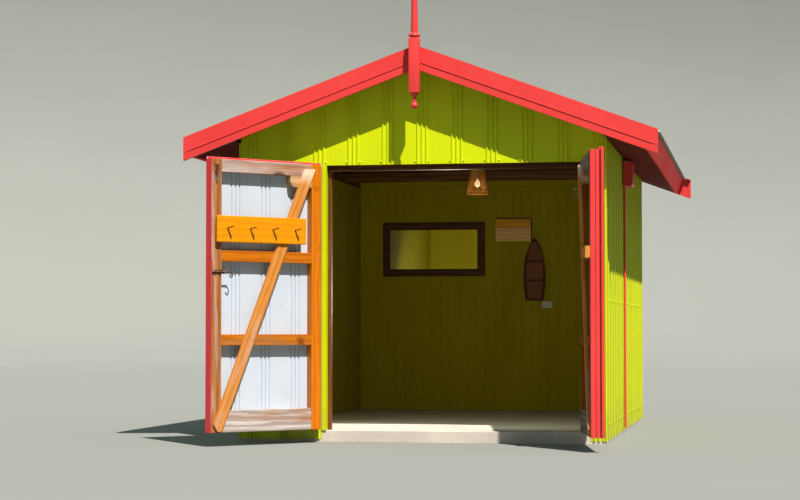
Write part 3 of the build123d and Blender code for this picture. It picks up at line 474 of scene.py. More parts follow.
def piece(obj, name, body, material, smooth=None, replaces=()):
    """Names a piece, gives it its finish, its body and the CAD nodes that it stands for."""
    obj.name = obj.data.name = name
    obj.data.materials.clear()
    obj.data.materials.append(material)
    if smooth:
        only(obj)
        bpy.ops.object.shade_smooth_by_angle(angle=math.radians(smooth))
    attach(obj, body)
    if replaces:
        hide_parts(*replaces)
    return obj


def dress(material, *names):
    """Gives CAD nodes their finish."""
    for name in names:
        mesh = nodes[name].data
        mesh.materials.clear()
        mesh.materials.append(material)


def turned_to(direction, at, up=(0, 0, 1)):
    """A place whose Z looks along a direction."""
    z = Vector(direction).normalized()
    x = Vector(up).cross(z)
    if x.length < 1e-6:
        x = Vector((1, 0, 0))
    x.normalize()
    y = z.cross(x)
    place = Matrix((x, y, z)).transposed().to_4x4()
    place.translation = at
    return place


def screw_pattern(tall=0.006):
    """A hexagon screw head standing on its sealing washer, at the origin, looking up."""
    radius = 0.0065
    bpy.ops.object.select_all(action="DESELECT")
    bpy.ops.mesh.primitive_cylinder_add(vertices=6, radius=radius, depth=tall,
                                        location=(0, 0, tall / 2 + 0.002))
    head = bpy.context.object
    apply_place(head)
    apply_modifier(head, "BEVEL", width=radius * 0.15, segments=1, limit_method="ANGLE")
    bpy.ops.object.select_all(action="DESELECT")
    bpy.ops.mesh.primitive_cone_add(vertices=12, radius1=radius * 1.6, radius2=radius * 1.1,
                                    depth=0.0025, location=(0, 0, 0.00125))
    washer = bpy.context.object
    apply_place(washer)
    return joined([head, washer])


def nail_pattern():
    """A round nail head, slightly domed."""
    radius = 0.0045
    bpy.ops.object.select_all(action="DESELECT")
    bpy.ops.mesh.primitive_cone_add(vertices=10, radius1=radius, radius2=radius * 0.55,
                                    depth=radius * 0.35, location=(0, 0, radius * 0.1))
    head = bpy.context.object
    apply_place(head)
    return head


def cluster_places(low, high, centre):
    """Places across a sheet beside each cluster of ribs, clear of the sheet's ends."""
    beside_ribs, clear = 0.06, 0.02
    found = []
    first = math.floor((low - centre) / cluster_pitch) - 1
    last = math.ceil((high - centre) / cluster_pitch) + 1
    for k in range(first, last + 1):
        for step in (-beside_ribs, beside_ribs):
            at = centre + k * cluster_pitch + step
            if low + clear < at < high - clear:
                found.append(at)
    return found


# Camera and light
def make_camera():
    """A long lens low over the ground, where the photograph was taken from."""
    camera = bpy.data.objects.new("camera", bpy.data.cameras.new("camera"))
    bpy.context.scene.collection.objects.link(camera)
    camera.data.lens = 90
    camera.data.sensor_width = 36
    camera.location = (2.93, -19.35, 0.94)
    camera.rotation_euler = (math.radians(90 + 2.37), 0, math.radians(10.4))
    bpy.context.scene.camera = camera


def new_light(name, kind, energy, colour, at=(0, 0, 0)):
    """A light of a kind, in watts, or for the sun in watts a square metre."""
    light = bpy.data.objects.new(name, bpy.data.lights.new(name, kind))
    bpy.context.scene.collection.objects.link(light)
    light.data.energy = energy
    light.data.color = colour
    light.location = at
    return light


def make_light():
    """A dim sky and a hard sun, high on the right as the barge boards' shadow asks."""
    world = bpy.data.worlds.new("studio")
    bpy.context.scene.world = world
    world.use_nodes = True
    sky = world.node_tree.nodes["Background"]
    sky.inputs["Color"].default_value = (0.72, 0.93, 1.0, 1)
    sky.inputs["Strength"].default_value = 0.58
    sun = new_light("sun", "SUN", 7.7, (1.0, 0.90, 0.82))
    sun.data.angle = math.radians(0.6)
    sun_goes = Vector((-0.338, 0.454, -0.824))
    sun.rotation_euler = sun_goes.to_track_quat("-Z", "Y").to_euler()
    bpy.context.scene.view_settings.view_transform = "Standard"


def make_room_light():
    """The light that the open doorway and the pale leaf throw back into the room."""
    light = new_light("room_bounce", "AREA", 16, (0.96, 1.0, 0.78), (0.30, front_y + 0.25, 1.2))
    light.data.shape = "RECTANGLE"
    light.data.size, light.data.size_y = 1.9, 1.2
    light.rotation_euler = (math.radians(90), 0, 0)


def make_pier_light():
    """Sunlight thrown from the slab on the inner face of the front wall, which the mirror shows."""
    light = new_light("pier_bounce", "SPOT", 220, (1.0, 0.98, 0.78), (-0.35, 1.6, 1.35))
    light.data.spot_size = math.radians(62)
    light.data.spot_blend = 0.8
    light.data.shadow_soft_size = 0.0
    aim = Vector((-1.25, front_y, 1.35)) - light.location
    light.rotation_euler = aim.to_track_quat("-Z", "Y").to_euler()


def make_floor():
    """A plain floor that curves up all round into a backdrop."""
    flat, bend, tall, arc_steps = 34.0, 12.0, 14.0, 12
    profile = [(0.0, 0.0), (flat, 0.0)]
    for step in range(1, arc_steps + 1):
        turn = math.pi / 2 * step / arc_steps
        profile.append((flat + bend * math.sin(turn), bend * (1 - math.cos(turn))))
    profile.append((flat + bend, bend + tall))
    ground = spun("studio_floor", profile, (0, 0, -0.001), 96, inward=True)
    only(ground)
    bpy.ops.object.shade_smooth()
    grey = Finish("studio_grey", roughness=0.95, Specular_IOR_Level=0.0)
    tone = grey.noise(grey.place(), 0.4, 2)
    ground.data.materials.append(grey.colour(grey.ramp(tone, ((0.0, (0.205, 0.220, 0.208)),
                                                              (1.0, (0.220, 0.236, 0.223))))))


make_camera()
make_light()
make_room_light()
make_pier_light()
make_floor()


# Finishes
lime_front = painted("lime_enamel_front", LIME, LIME_DEEP, 0.0, True)
lime_side = painted("lime_enamel_side", LIME_SIDE, LIME_SIDE_DEEP, math.pi / 2, True, rough=(0.5, 0.7))
lime_plain = painted("lime_enamel_folded", LIME, LIME_DEEP)
lime_leaf = {side: painted("lime_enamel_" + leaf_names[side], LIME, LIME_DEEP, leaf_turn[side], True,
                           back=(tuple(leaf_frames[side].to_3x3().col[1]), SHEET_BACK))
             for side in (-1, 1)}
red_enamel = painted("red_enamel", RED, RED_DEEP, dirt=0.2)
red_left = painted("red_enamel_left_leaf", (0.86, 0.034, 0.045), (0.70, 0.024, 0.034), dirt=0.2)
# Near-black red for the seams of the right leaf's edge: painted shade.
red_shade = painted("red_seam_shade", tuple(0.3 * c for c in RED_DEEP), (0.03, 0.003, 0.004), dirt=0.2)
red_post = gloss_timber("red_gloss_post", RED, RED_DEEP, GRAIN_UP)
galvanised = metal("galvanised_sheet", (0.33, 0.343, 0.35), (0.25, 0.24, 0.22), 0.25, (0.65, 0.85), 0.4)
rusted_rod = metal("rusted_hook_rod", (0.15, 0.050, 0.016), (0.09, 0.028, 0.010), 0.6, (0.6, 0.9), 0.3)
zinc_screw = metal("zinc_screw", STEEL, RUST, 0.35, (0.3, 0.6))
old_steel = metal("rusted_steel", (0.30, 0.28, 0.27), RUST, 0.85, (0.5, 0.85), 0.75)
lime_screw = painted("lime_screw", LIME, LIME_DEEP, dirt=0.0)
slab_finish = concrete("slab_concrete")
red_boards = gloss_timber("red_gloss_boards", RED, RED_DEEP, bare=(0.36, 0.10, 0.06))
# The fascia's red is brighter than the barges' red: painted sunlight on its outer face.
red_fascia_painted_sunlight = gloss_timber("red_gloss_fascia_painted_sunlight", (0.95, 0.060, 0.060), (0.80, 0.045, 0.045), GRAIN_BACK,
                          rough=(0.6, 0.8), shine=0.12)
# The eave boards' red paint, darkened as painted shade.
eave_lining_painted_shade = gloss_timber("maroon_eave_boards_painted_shade", SHADED_MAROON, (0.10, 0.003, 0.005), GRAIN_BACK,
                             rough=(0.75, 0.9), shine=0.1)
olive_paint = gloss_timber("olive_wall_paint", OLIVE, tuple(0.75 * c for c in OLIVE), GRAIN_UP,
                           rough=(0.6, 0.85), shine=0.12)
frame_wood = wood("stained_framing", BROWN_LIGHT, BROWN_DARK, GRAIN_UP)
beam_wood = wood("stained_beams", BROWN_LIGHT, BROWN_DARK)
along_wood = wood("stained_purlins", BROWN_LIGHT, BROWN_DARK, GRAIN_BACK)
dark_wood = wood("dark_stained_timber", (0.095, 0.036, 0.012), (0.045, 0.015, 0.005), rough=(0.5, 0.7))
pale_wood = wood("pale_oiled_board", (0.92, 0.56, 0.22), (0.74, 0.40, 0.13), shift=(0.25, 0, 0.45),
                 rough=(0.5, 0.7))
gold_wood = wood("golden_oiled_board", (0.84, 0.40, 0.020), (0.66, 0.28, 0.012), shift=(0.4, 0, 0.3),
                 rough=(0.5, 0.7))
cane = wood("rattan_cane", (0.50, 0.22, 0.045), (0.30, 0.11, 0.018), GRAIN_UP, coat=0.15)


def mirror_finish():
    """Silvered glass with a faint haze."""
    finish = Finish("silvered_glass", roughness=0.03, Metallic=1.0)
    haze = finish.noise(finish.place(), 3.0, 3)
    finish.rough(haze, 0.02, 0.05)
    return finish.colour(finish.ramp(haze, ((0.0, (0.80, 0.84, 0.84)), (1.0, (0.88, 0.90, 0.90)))))


def bulb_finish():
    """Lit glass below, and above it the brown holder and ceiling plate, which don't glow."""
    finish = Finish("lit_bulb", roughness=0.3)
    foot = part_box("lamp_bulb")[0].z
    glass_from, holder_from = foot + 0.064, foot + 0.074
    holder = finish.height(glass_from, holder_from)
    finish.shader.inputs["Emission Color"].default_value = (1.0, 0.70, 0.36, 1)
    finish.link(finish.math("MULTIPLY", finish.math("SUBTRACT", 1.0, holder), 1.5),
                finish.shader.inputs["Emission Strength"])
    glow = finish.noise(finish.place(), 30.0, 2)
    glass = finish.ramp(glow, ((0.0, (0.9, 0.8, 0.6)), (1.0, (1.0, 0.9, 0.7))))
    return finish.colour(finish.mix(holder, glass, (0.20, 0.09, 0.03)))


def boat_finish():
    """Stained boards, paler at the back of the compartments than on the rim."""
    finish = Finish("boat_stained_timber", roughness=0.6, Specular_IOR_Level=0.2)
    rim_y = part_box("boat_shelf")[0].y
    deep = finish.height(rim_y + 0.02, rim_y + 0.05, "Y")
    fibres = finish.noise(finish.place(GRAIN_UP, (22, 1, 1)), 95.0, 5, 0.6)
    share = finish.ramp(fibres, ((0.35, 0.0), (0.7, 0.7)))
    rim = finish.mix(share, (0.085, 0.030, 0.012), (0.04, 0.013, 0.005))
    inside = finish.mix(share, (0.26, 0.085, 0.035), (0.14, 0.045, 0.018))
    finish.bump(fibres, 0.0006, 0.6)
    return finish.colour(finish.mix(deep, rim, inside))


def plastic_finish():
    """Moulded plastic that has greyed a little, and darkened further as painted shade."""
    finish = Finish("white_plastic", roughness=0.4)
    plain = finish.place()
    finish.bump(finish.noise(plain, 400.0, 2), 0.0001, 0.4)
    return finish.colour(finish.ramp(finish.noise(plain, 12.0, 4), ((0.3, (0.42, 0.415, 0.385)),
                                                                    (0.7, (0.37, 0.36, 0.325)))))


white_plastic = plastic_finish()
dress(slab_finish, "floor_slab")
dress(frame_wood, "side_wall_frames", "back_wall_frame", "gable_studs")
dress(beam_wood, "front_wall_frame", "rafters", "tie_beams")
dress(along_wood, "ridge_beam", "purlins")
dress(lime_front, "front_gable_cladding", "front_pier_cladding", "back_wall_cladding")
dress(lime_side, "right_wall_cladding", "left_wall_cladding")
dress(lime_plain, "opening_trims", "corner_trims")
dress(galvanised, "ridge_cap")
dress(red_fascia_painted_sunlight, "eave_fascias")
dress(eave_lining_painted_shade, "eave_linings")
dress(red_boards, "front_barges", "rear_barges", "door_cover_strip")
dress(red_enamel, "barge_caps", "meter_box", "conduit", "right_door_trim")
dress(red_left, "left_door_trim")
dress(bulb_finish(), "lamp_bulb")
dress(dark_wood, "mirror_frame")
dress(mirror_finish(), "mirror_glass")
dress(boat_finish(), "boat_shelf")
dress(white_plastic, "power_outlet")
dress(old_steel, "left_hinge_plates", "right_hinge_plates", "left_door_hinges", "right_door_hinges",
      "door_bolts")
for leaf_side, leaf_name in leaf_names.items():
    dress(lime_leaf[leaf_side], leaf_name + "_sheet")


# Wall linings of narrow grooved boards
lining_pitch = 0.1
lining_groove = 0.0026


def lining_boards(name, node, spans, along):
    """Boards side by side in a lining node's place. Each span is (from, to, low, high)."""
    low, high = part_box(node)
    parts = []
    for start, end, bottom, top in spans:
        count = max(1, round((end - start) / lining_pitch))
        wide = (end - start) / count
        if along == "X":
            pattern = board((start, low.y, bottom), (start + wide, high.y, top), lining_groove, 1)
            step = Vector((wide, 0, 0))
        else:
            pattern = board((low.x, start, bottom), (high.x, start + wide, top), lining_groove, 1)
            step = Vector((0, wide, 0))
        parts.append(copies(pattern, [Matrix.Translation(step * i) for i in range(count)]))
    piece(joined(parts), name, "hut", olive_paint, replaces=(node,))


for wall in ("right", "left"):
    wall_low, wall_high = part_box(wall + "_wall_lining")
    lining_boards(wall + "_lining_boards", wall + "_wall_lining",
                  [(wall_low.y, wall_high.y, wall_low.z, wall_high.z)], "Y")
wall_low, wall_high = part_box("back_wall_lining")
lining_boards("back_lining_boards", "back_wall_lining",
              [(wall_low.x, wall_high.x, wall_low.z, wall_high.z)], "X")
wall_low, wall_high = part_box("front_wall_lining")
lining_boards("front_lining_boards", "front_wall_lining",
              [(wall_low.x, opening_left - sheet_thick, wall_low.z, wall_high.z),
               (opening_right + sheet_thick, wall_high.x, wall_low.z, wall_high.z),
               (opening_left, opening_right, head_z, wall_high.z)], "X")


def back_gable_boards():
    """An olive board on top of the back lining and a stained one above it, under the roof."""
    low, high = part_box("back_wall_lining")
    olive_tall, stained_tall, gap = 0.125, 0.215, 0.001       # both from the lining's top
    olive_top, stained_top = high.z + olive_tall, high.z + stained_tall
    upper = board((low.x, low.y, high.z + gap), (high.x, high.y, olive_top), lining_groove, 1)
    piece(upper, "back_lining_head", "hut", olive_paint)
    dark = board((low.x, low.y, olive_top + gap), (high.x, high.y, stained_top), lining_groove, 1)
    piece(dark, "back_gable_board", "hut", beam_wood)


back_gable_boards()


def stop_boards():
    """The stops round the doorway, each with its grain along it."""
    low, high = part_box("door_stops")
    wide, head_tall = 0.030, 0.045
    sides = [board((x, low.y, low.z), (x + wide, high.y, high.z)) for x in (low.x, high.x - wide)]
    piece(joined(sides), "side_stops", "hut", frame_wood, replaces=("door_stops",))
    head = board((low.x + wide, low.y, high.z - head_tall), (high.x - wide, high.y, high.z))
    piece(head, "head_stop", "hut", beam_wood)


stop_boards()


# Corrugated roof sheets with round waves
def roof_sheet(side):
    """A sheet waved while it lies flat, then given its thickness and slope. The left one is mirrored."""
    node = {1: "right_roof_sheet", -1: "left_roof_sheet"}[side]
    low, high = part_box(node)
    rise = wave_depth + sheet_thick
    near = low.x if side > 0 else -high.x
    far = high.x if side > 0 else -low.x
    run = (far - near - rise * slope_sin) / slope_cos
    across = high.y - low.y
    waves = round(across / wave_pitch)
    steps_a_wave = 10
    bpy.ops.object.select_all(action="DESELECT")
    bpy.ops.mesh.primitive_grid_add(x_subdivisions=12, y_subdivisions=waves * steps_a_wave, size=1)
    sheet = bpy.context.object
    sheet.scale = (run, across, 1)
    sheet.location = (run / 2, (low.y + high.y) / 2, 0)
    apply_place(sheet)
    for corner in sheet.data.vertices:
        turn = (corner.co.y - low.y) / across * waves * math.tau
        corner.co.z = wave_depth / 2 * (1 - math.cos(turn))
    apply_modifier(sheet, "SOLIDIFY", thickness=sheet_thick, offset=1.0)
    place = Matrix.Rotation(slope_angle, 4, "Y")
    place.translation = (near, 0, high.z - rise * slope_cos)
    sheet.matrix_world = place
    apply_place(sheet)
    if side < 0:
        sheet.scale = (-1, 1, 1)
        apply_place(sheet)
        only(sheet)
        bpy.ops.object.mode_set(mode="EDIT")
        bpy.ops.mesh.select_all(action="SELECT")
        bpy.ops.mesh.flip_normals()
        bpy.ops.object.mode_set(mode="OBJECT")
    piece(sheet, node + "_waves", "hut", galvanised, 40, (node,))


for roof_side in (1, -1):
    roof_sheet(roof_side)


def roof_screws():
    """Screws on every third crest, over each row of purlins."""
    places = []
    low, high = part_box("right_roof_sheet")
    waves = round((high.y - low.y) / wave_pitch)
    pitch = (high.y - low.y) / waves
    crest_x = low.x + 0.007          # where the crests end at the ridge
    for down in (0.10, 0.72, 1.34, 1.90):
        for k in range(1, waves, 3):
            y = low.y + (k + 0.5) * pitch
            for side in (1, -1):
                at = (side * (crest_x + down * slope_cos), y, high.z - down * slope_sin)
                places.append(turned_to((side * slope_sin, 0, slope_cos), at, (0, 1, 0)))
    piece(copies(screw_pattern(tall=0.005), places), "roof_screws", "hut", zinc_screw)


roof_screws()


# Barge caps and finial
def cap_folds():
    """The folded lower edge of each barge cap, which stands a little proud of the timber."""
    front_end, rear_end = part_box("front_barges")[1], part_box("rear_barges")[1]
    near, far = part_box("barge_caps")
    barge_tall, bare_tall, fold, end_gap, post_clear = 0.189, 0.063, 0.004, 0.045, 0.05
    foot = front_end.z - (barge_tall - bare_tall) / slope_cos
    parts = []
    for depth, start, tail in (((near.y - fold, near.y), post_clear, front_end.x),
                               ((far.y, far.y + fold), 0.0, rear_end.x)):
        run = (tail - end_gap - start) / slope_cos
        for side in (1, -1):
            ends = sorted((0, side * run))
            strip = board((ends[0], depth[0], 0), (ends[1], depth[1], fold), 0.001, 1)
            place = Matrix.Rotation(side * slope_angle, 4, "Y")
            place.translation = (side * start, 0, foot - roof_slope * start)
            strip.matrix_world = place
            apply_place(strip)
            parts.append(strip)
    piece(joined(parts), "cap_folds", "hut", red_enamel)


cap_folds()


def finial():
    """The square post, its turned collar and spire above, its neck and ball below."""
    low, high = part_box("finial")
    centre = (low + high) / 2
    ball, neck, neck_tall, half, post_tall = 0.030, 0.016, 0.074, 0.045, 0.470
    post_low = low.z + ball + math.sqrt(ball ** 2 - neck ** 2) + neck_tall + 0.005
    post_top = post_low + post_tall
    post = board((centre.x - half, centre.y - half, post_low), (centre.x + half, centre.y + half, post_top),
                 0.007, 3)
    below = [(0.0, low.z)]
    for step in range(1, 15):
        turn = (math.pi - math.asin(neck / ball)) * step / 14
        below.append((ball * math.sin(turn), low.z + ball - ball * math.cos(turn)))
    neck_z = below[-1][1]
    for step in range(1, 9):
        share = step / 8
        below.append((neck * (1 - 0.12 * math.sin(math.pi * share)) + 0.5 * (ball - neck) * share ** 4,
                      neck_z + (neck_tall - 0.012) * share))
    below += [(ball * 0.98, post_low - 0.011), (ball, post_low - 0.006), (ball, post_low + 0.002),
              (0.0, post_low + 0.002)]
    collar, collar_tall, spire, spire_tall, tip = 0.052, 0.044, 0.031, 0.646, 0.009
    seat, collar_foot = 0.034, 0.036
    above = [(0.0, post_top - 0.002), (seat, post_top - 0.002), (seat, post_top + 0.004)]
    for step in range(9):
        share = step / 8
        above.append((collar_foot + (collar - collar_foot) * math.sin(math.pi * share) ** 0.6,
                      post_top + 0.006 + (collar_tall - 0.010) * share))
    for step in range(13):
        share = step / 12
        above.append((tip + (spire - tip) * (1 - share ** 1.6),
                      post_top + collar_tall + spire_tall * share))
    for step in range(1, 7):
        turn = math.pi / 2 * step / 6
        above.append((tip * math.cos(turn), high.z - tip + tip * math.sin(turn)))
    above[-1] = (0.0, high.z)
    place = (centre.x, centre.y, 0)
    turned = [spun("turning", profile, place, 36) for profile in (below, above)]
    piece(joined([post, *turned]), "turned_finial", "hut", red_post, 40, ("finial",))


finial()


def wall_screws():
    """Screws through the pans of the wall sheets, in rows on the framing."""
    pan_x, pan_y = side_x - pan_depth, front_y + pan_depth
    rows = (0.16, 1.22, 2.46)
    corner, side_end, lintel_up, jamb_clear = 0.012, 2.43, 0.025, 0.06
    places = []
    for x in cluster_places(-side_x + corner, side_x - corner, cluster_shift):
        places.append(turned_to((0, -1, 0), (x, pan_y, head_z + lintel_up)))
        if not opening_left - jamb_clear < x < opening_right + jamb_clear:
            for z in rows[:2]:
                places.append(turned_to((0, -1, 0), (x, pan_y, z)))
    for y in cluster_places(-side_end, side_end, 0.0):
        for z in rows:
            for side in (1, -1):
                places.append(turned_to((side, 0, 0), (side * pan_x, y, z)))
    for x in cluster_places(-side_x + corner, side_x - corner, 0.0):
        for z in rows:
            places.append(turned_to((0, 1, 0), (x, -pan_y, z)))
    piece(copies(screw_pattern(), places), "wall_screws", "hut", lime_screw)


wall_screws()


def leaf_timbers(side):
    """A leaf's frame: each timber is its own board. The right leaf's timbers are darker, as painted shade."""
    turn = leaf_turn[side]
    name = leaf_names[side]
    standing = (0, math.pi / 2, turn)
    lying = (0, 0, turn)
    depth = (sheet_back, timber_face)
    inner_from, inner_to = timber_from + stile_wide + rail_gap, timber_to - stile_wide - rail_gap
    # Painted shade: the right leaf's timber tones are halved, for its inner face in shade.
    dim = 1.0 if side < 0 else 0.5
    tan, tan_dark, orange, orange_dark, rail, rail_dark, grey, grey_dark = (
        tuple(dim * c for c in tone) for tone in (TAN_LIGHT, TAN_DARK, ORANGE_LIGHT, ORANGE_DARK, RAIL_LIGHT,
                                                  RAIL_DARK, GREY_LIGHT, GREY_DARK))
    tan_wood = wood(name + "_tan_stile", tan, tan_dark, standing, (side, 0, 0.3), grey, 0.15,
                    (0.5, 0.8), grain=0.0012)
    varnished = wood(name + "_varnished_stile", orange, orange_dark, standing, (side, 0, 0.7),
                     tan, 0.05, (0.3, 0.55), 0.12)
    rail_wood = wood(name + "_varnished_rail", rail, rail_dark, lying, (0, side, 0.1),
                     tan, 0.2, (0.3, 0.55), 0.08)
    top_wood = wood(name + "_weathered_rail", tan, tan_dark, lying, (0.2, side, 0.5), grey,
                    0.45, (0.5, 0.85), grain=0.0012)
    grey_wood = wood(name + "_grey_plank", grey, grey_dark, lying, (0.6, side, 0.2), tan,
                     0.08, (0.6, 0.9), grain=0.0015)
    free = leaf_board(side, (timber_to - stile_wide, timber_to), depth, (leaf_low, timber_high), 0.004)
    piece(free, name + "_free_stile", name, tan_wood, replaces=(name + "_frame",))
    hinge = leaf_board(side, (timber_from, timber_from + stile_wide), depth, (leaf_low, timber_high), 0.004)
    piece(hinge, name + "_hinge_stile", name, varnished)
    top = leaf_board(side, (inner_from, inner_to), depth, (timber_high - rail_tall, timber_high), 0.004)
    piece(top, name + "_top_rail", name, top_wood)
    block_tall, block_long, block_round = 0.096, 0.22, 0.048
    block_high = timber_high - rail_tall - rail_gap
    block_low, block_end = block_high - block_tall, inner_from + block_long
    outline = [(inner_from, block_high), (inner_from, block_low)]
    for step in range(9):
        arc = math.pi / 2 * step / 8
        outline.append((block_end - block_round * (1 - math.sin(arc)),
                        block_low + block_round * (1 - math.cos(arc))))
    outline.append((block_end, block_high))
    block_wood = wood(name + "_block_wood", (0.52, 0.34, 0.17), (0.32, 0.17, 0.06), lying,
                      (0.9, side, 0.35), rough=(0.5, 0.8), grain=0.001)
    piece(leaf_plate(side, outline, depth), name + "_corner_block", name, block_wood)
    rails = [leaf_board(side, (inner_from, inner_to), depth, (low, low + mid_rail_tall), 0.004)
             for low in rail_low]
    piece(joined(rails), name + "_middle_rails", name, rail_wood)
    planks = []
    for k in (0, 1):
        low = leaf_low + k * (kick_tall + rail_gap)
        planks.append(leaf_board(side, (inner_from, inner_to), depth, (low, low + kick_tall), 0.005))
    piece(joined(planks), name + "_kick_planks", name, grey_wood)


for leaf_side in leaf_names:
    leaf_timbers(leaf_side)

brace_lean = math.atan2(2.2, 0.93)      # the brace's rise over its run along the leaf
for leaf_side, leaf_name in leaf_names.items():
    grain_turn = brace_lean if leaf_side < 0 else math.pi - brace_lean
    dress(wood(leaf_name + "_brace_wood", (0.57, 0.235, 0.045), (0.42, 0.145, 0.022),
               (0, grain_turn, leaf_turn[leaf_side]), (0.1, 0, 0.2), GREY_LIGHT, 0.12, (0.4, 0.7),
               grain=0.001, washed=(2.20, 2.30, (0.78, 0.60, 0.45))), leaf_name + "_brace")


def hook_plank():
    """The hook board, which stops short of the hinge stile, and its packer on the free stile."""
    varnish = wood("hook_board_varnish", (0.68, 0.262, 0.001), (0.60, 0.210, 0.001),
                   (0, 0, leaf_turn[-1]), (0, 0, 0.4), coat=0.15, rough=(0.3, 0.5))
    back = timber_face + brace_thick
    plank_from, plank_to = 0.238, timber_to - 0.030
    packer_from, packer_to = timber_to - 0.095, timber_to - 0.035
    short = 0.010                    # of the packer, at each end of its height
    plank = leaf_board(-1, (plank_from, plank_to), (back, back + board_thick),
                       (board_low, board_low + board_tall), 0.007)
    packer = leaf_board(-1, (packer_from, packer_to), (timber_face, back),
                        (board_low + short, board_low + board_tall - short))
    piece(joined([plank, packer]), "hook_plank", "left_door", varnish,
          replaces=("hook_board",))


hook_plank()


def leaf_nails(side):
    """Nails in a leaf's timbers, brace and hook board, and screws through its sheet."""
    name = leaf_names[side]
    normal = leaf_frames[side].to_3x3().col[1]
    brace_face = timber_face + brace_thick
    brace_nails = ((0.165, 2.31), (0.20, 2.28), (0.17, 2.25), (1.08, 0.20), (1.05, 0.16), (1.09, 0.15),
                   (0.46, 1.57), (0.49, 1.60), (0.765, 0.87), (0.79, 0.90))     # along, height
    places = []

    def add(along, depth, height):
        places.append(turned_to(normal, leaf_point(side, along, depth, height)))

    for low in (*rail_low, timber_high - rail_tall):
        for along in (timber_from + 0.03, timber_from + 0.07, timber_to - 0.03, timber_to - 0.07):
            for up in (0.03, 0.065):
                add(along, timber_face, low + up)
    for along, height in brace_nails:
        add(along, brace_face, height)
    if side < 0:
        for along in (timber_to - 0.05, timber_to - 0.09):
            for height in (board_low + 0.05, board_low + board_tall - 0.05):
                add(along, brace_face + board_thick, height)
    piece(copies(nail_pattern(), places), name + "_nails", name, old_steel)
    outer = []
    for along in cluster_places(0.03, timber_to, leaf_reach / 2):
        for height in (leaf_low + 0.09, rail_low[0] + 0.05, rail_low[1] + 0.05, timber_high - 0.07):
            outer.append(turned_to(-normal, leaf_point(side, along, sheet_back - sheet_thick, height)))
    piece(copies(screw_pattern(), outer), name + "_sheet_screws", name, lime_screw)


for leaf_side in leaf_names:
    leaf_nails(leaf_side)


def edge_cover():
    """Folded strips on the free edge of the right leaf, with dark strips of painted shade in its seams, and
    on the leaves' tops.
    """
    edge, wide_out, narrow_out, seam_out = leaf_reach - 0.0002, 0.0035, 0.0025, 0.0008
    fold_top = leaf_high - 0.003
    wide = [leaf_board(1, (edge, edge + wide_out), depth, (leaf_low, timber_high), 0.001)
            for depth in ((0.021, 0.0485), (0.052, timber_face - 0.002))]
    narrow = leaf_board(1, (edge, edge + narrow_out), (-0.016, 0.005), (leaf_low, fold_top), 0.001)
    piece(joined([*wide, narrow]), "edge_cover", "right_door", red_enamel)
    # Dark strips in the seams: painted shade in the gaps between the folds.
    seams = [leaf_board(1, (edge, edge + seam_out), depth, (leaf_low, timber_high), 0.0002)
             for depth in ((0.0065, 0.0195), (0.0485, 0.0520))]
    piece(joined(seams), "edge_seam_shade", "right_door", red_shade)
    for side, paint in ((-1, red_left), (1, red_enamel)):
        strip = leaf_board(side, (0.012, leaf_reach - 0.008), (sheet_back + 0.0002, sheet_back + 0.0016),
                           (timber_high + 0.001, fold_top), 0.0004)
        piece(strip, leaf_names[side] + "_top_fold", leaf_names[side], paint)


edge_cover()


# Thin round wire and cane
def rounded(path):
    """A smooth path through points, with a few more points between each pair."""
    steps = 5
    points = [Vector(point) for point in path]
    ends = [2 * points[0] - points[1], *points, 2 * points[-1] - points[-2]]
    smooth = []
    for before, start, end, after in zip(ends, ends[1:], ends[2:], ends[3:]):
        for step in range(steps):
            t = step / steps
            smooth.append(0.5 * (2 * start + (end - before) * t
                                 + (2 * before - 5 * start + 4 * end - after) * t ** 2
                                 + (3 * start - before - 3 * end + after) * t ** 3))
    return [*smooth, points[-1]]


def tubes(name, paths, radius, closed):
    """Thin round canes along many paths, as one mesh."""
    curve = bpy.data.curves.new(name, "CURVE")
    curve.dimensions = "3D"
    curve.bevel_depth = radius
    curve.bevel_resolution = 1
    curve.resolution_u = 1
    for path in paths:
        spline = curve.splines.new("POLY")
        spline.points.add(len(path) - 1)
        for point, at in zip(spline.points, path):
            point.co = (*at, 1)
        spline.use_cyclic_u = closed
    obj = bpy.data.objects.new(name, curve)
    bpy.context.scene.collection.objects.link(obj)
    only(obj)
    bpy.ops.object.convert(target="MESH")
    return bpy.context.object


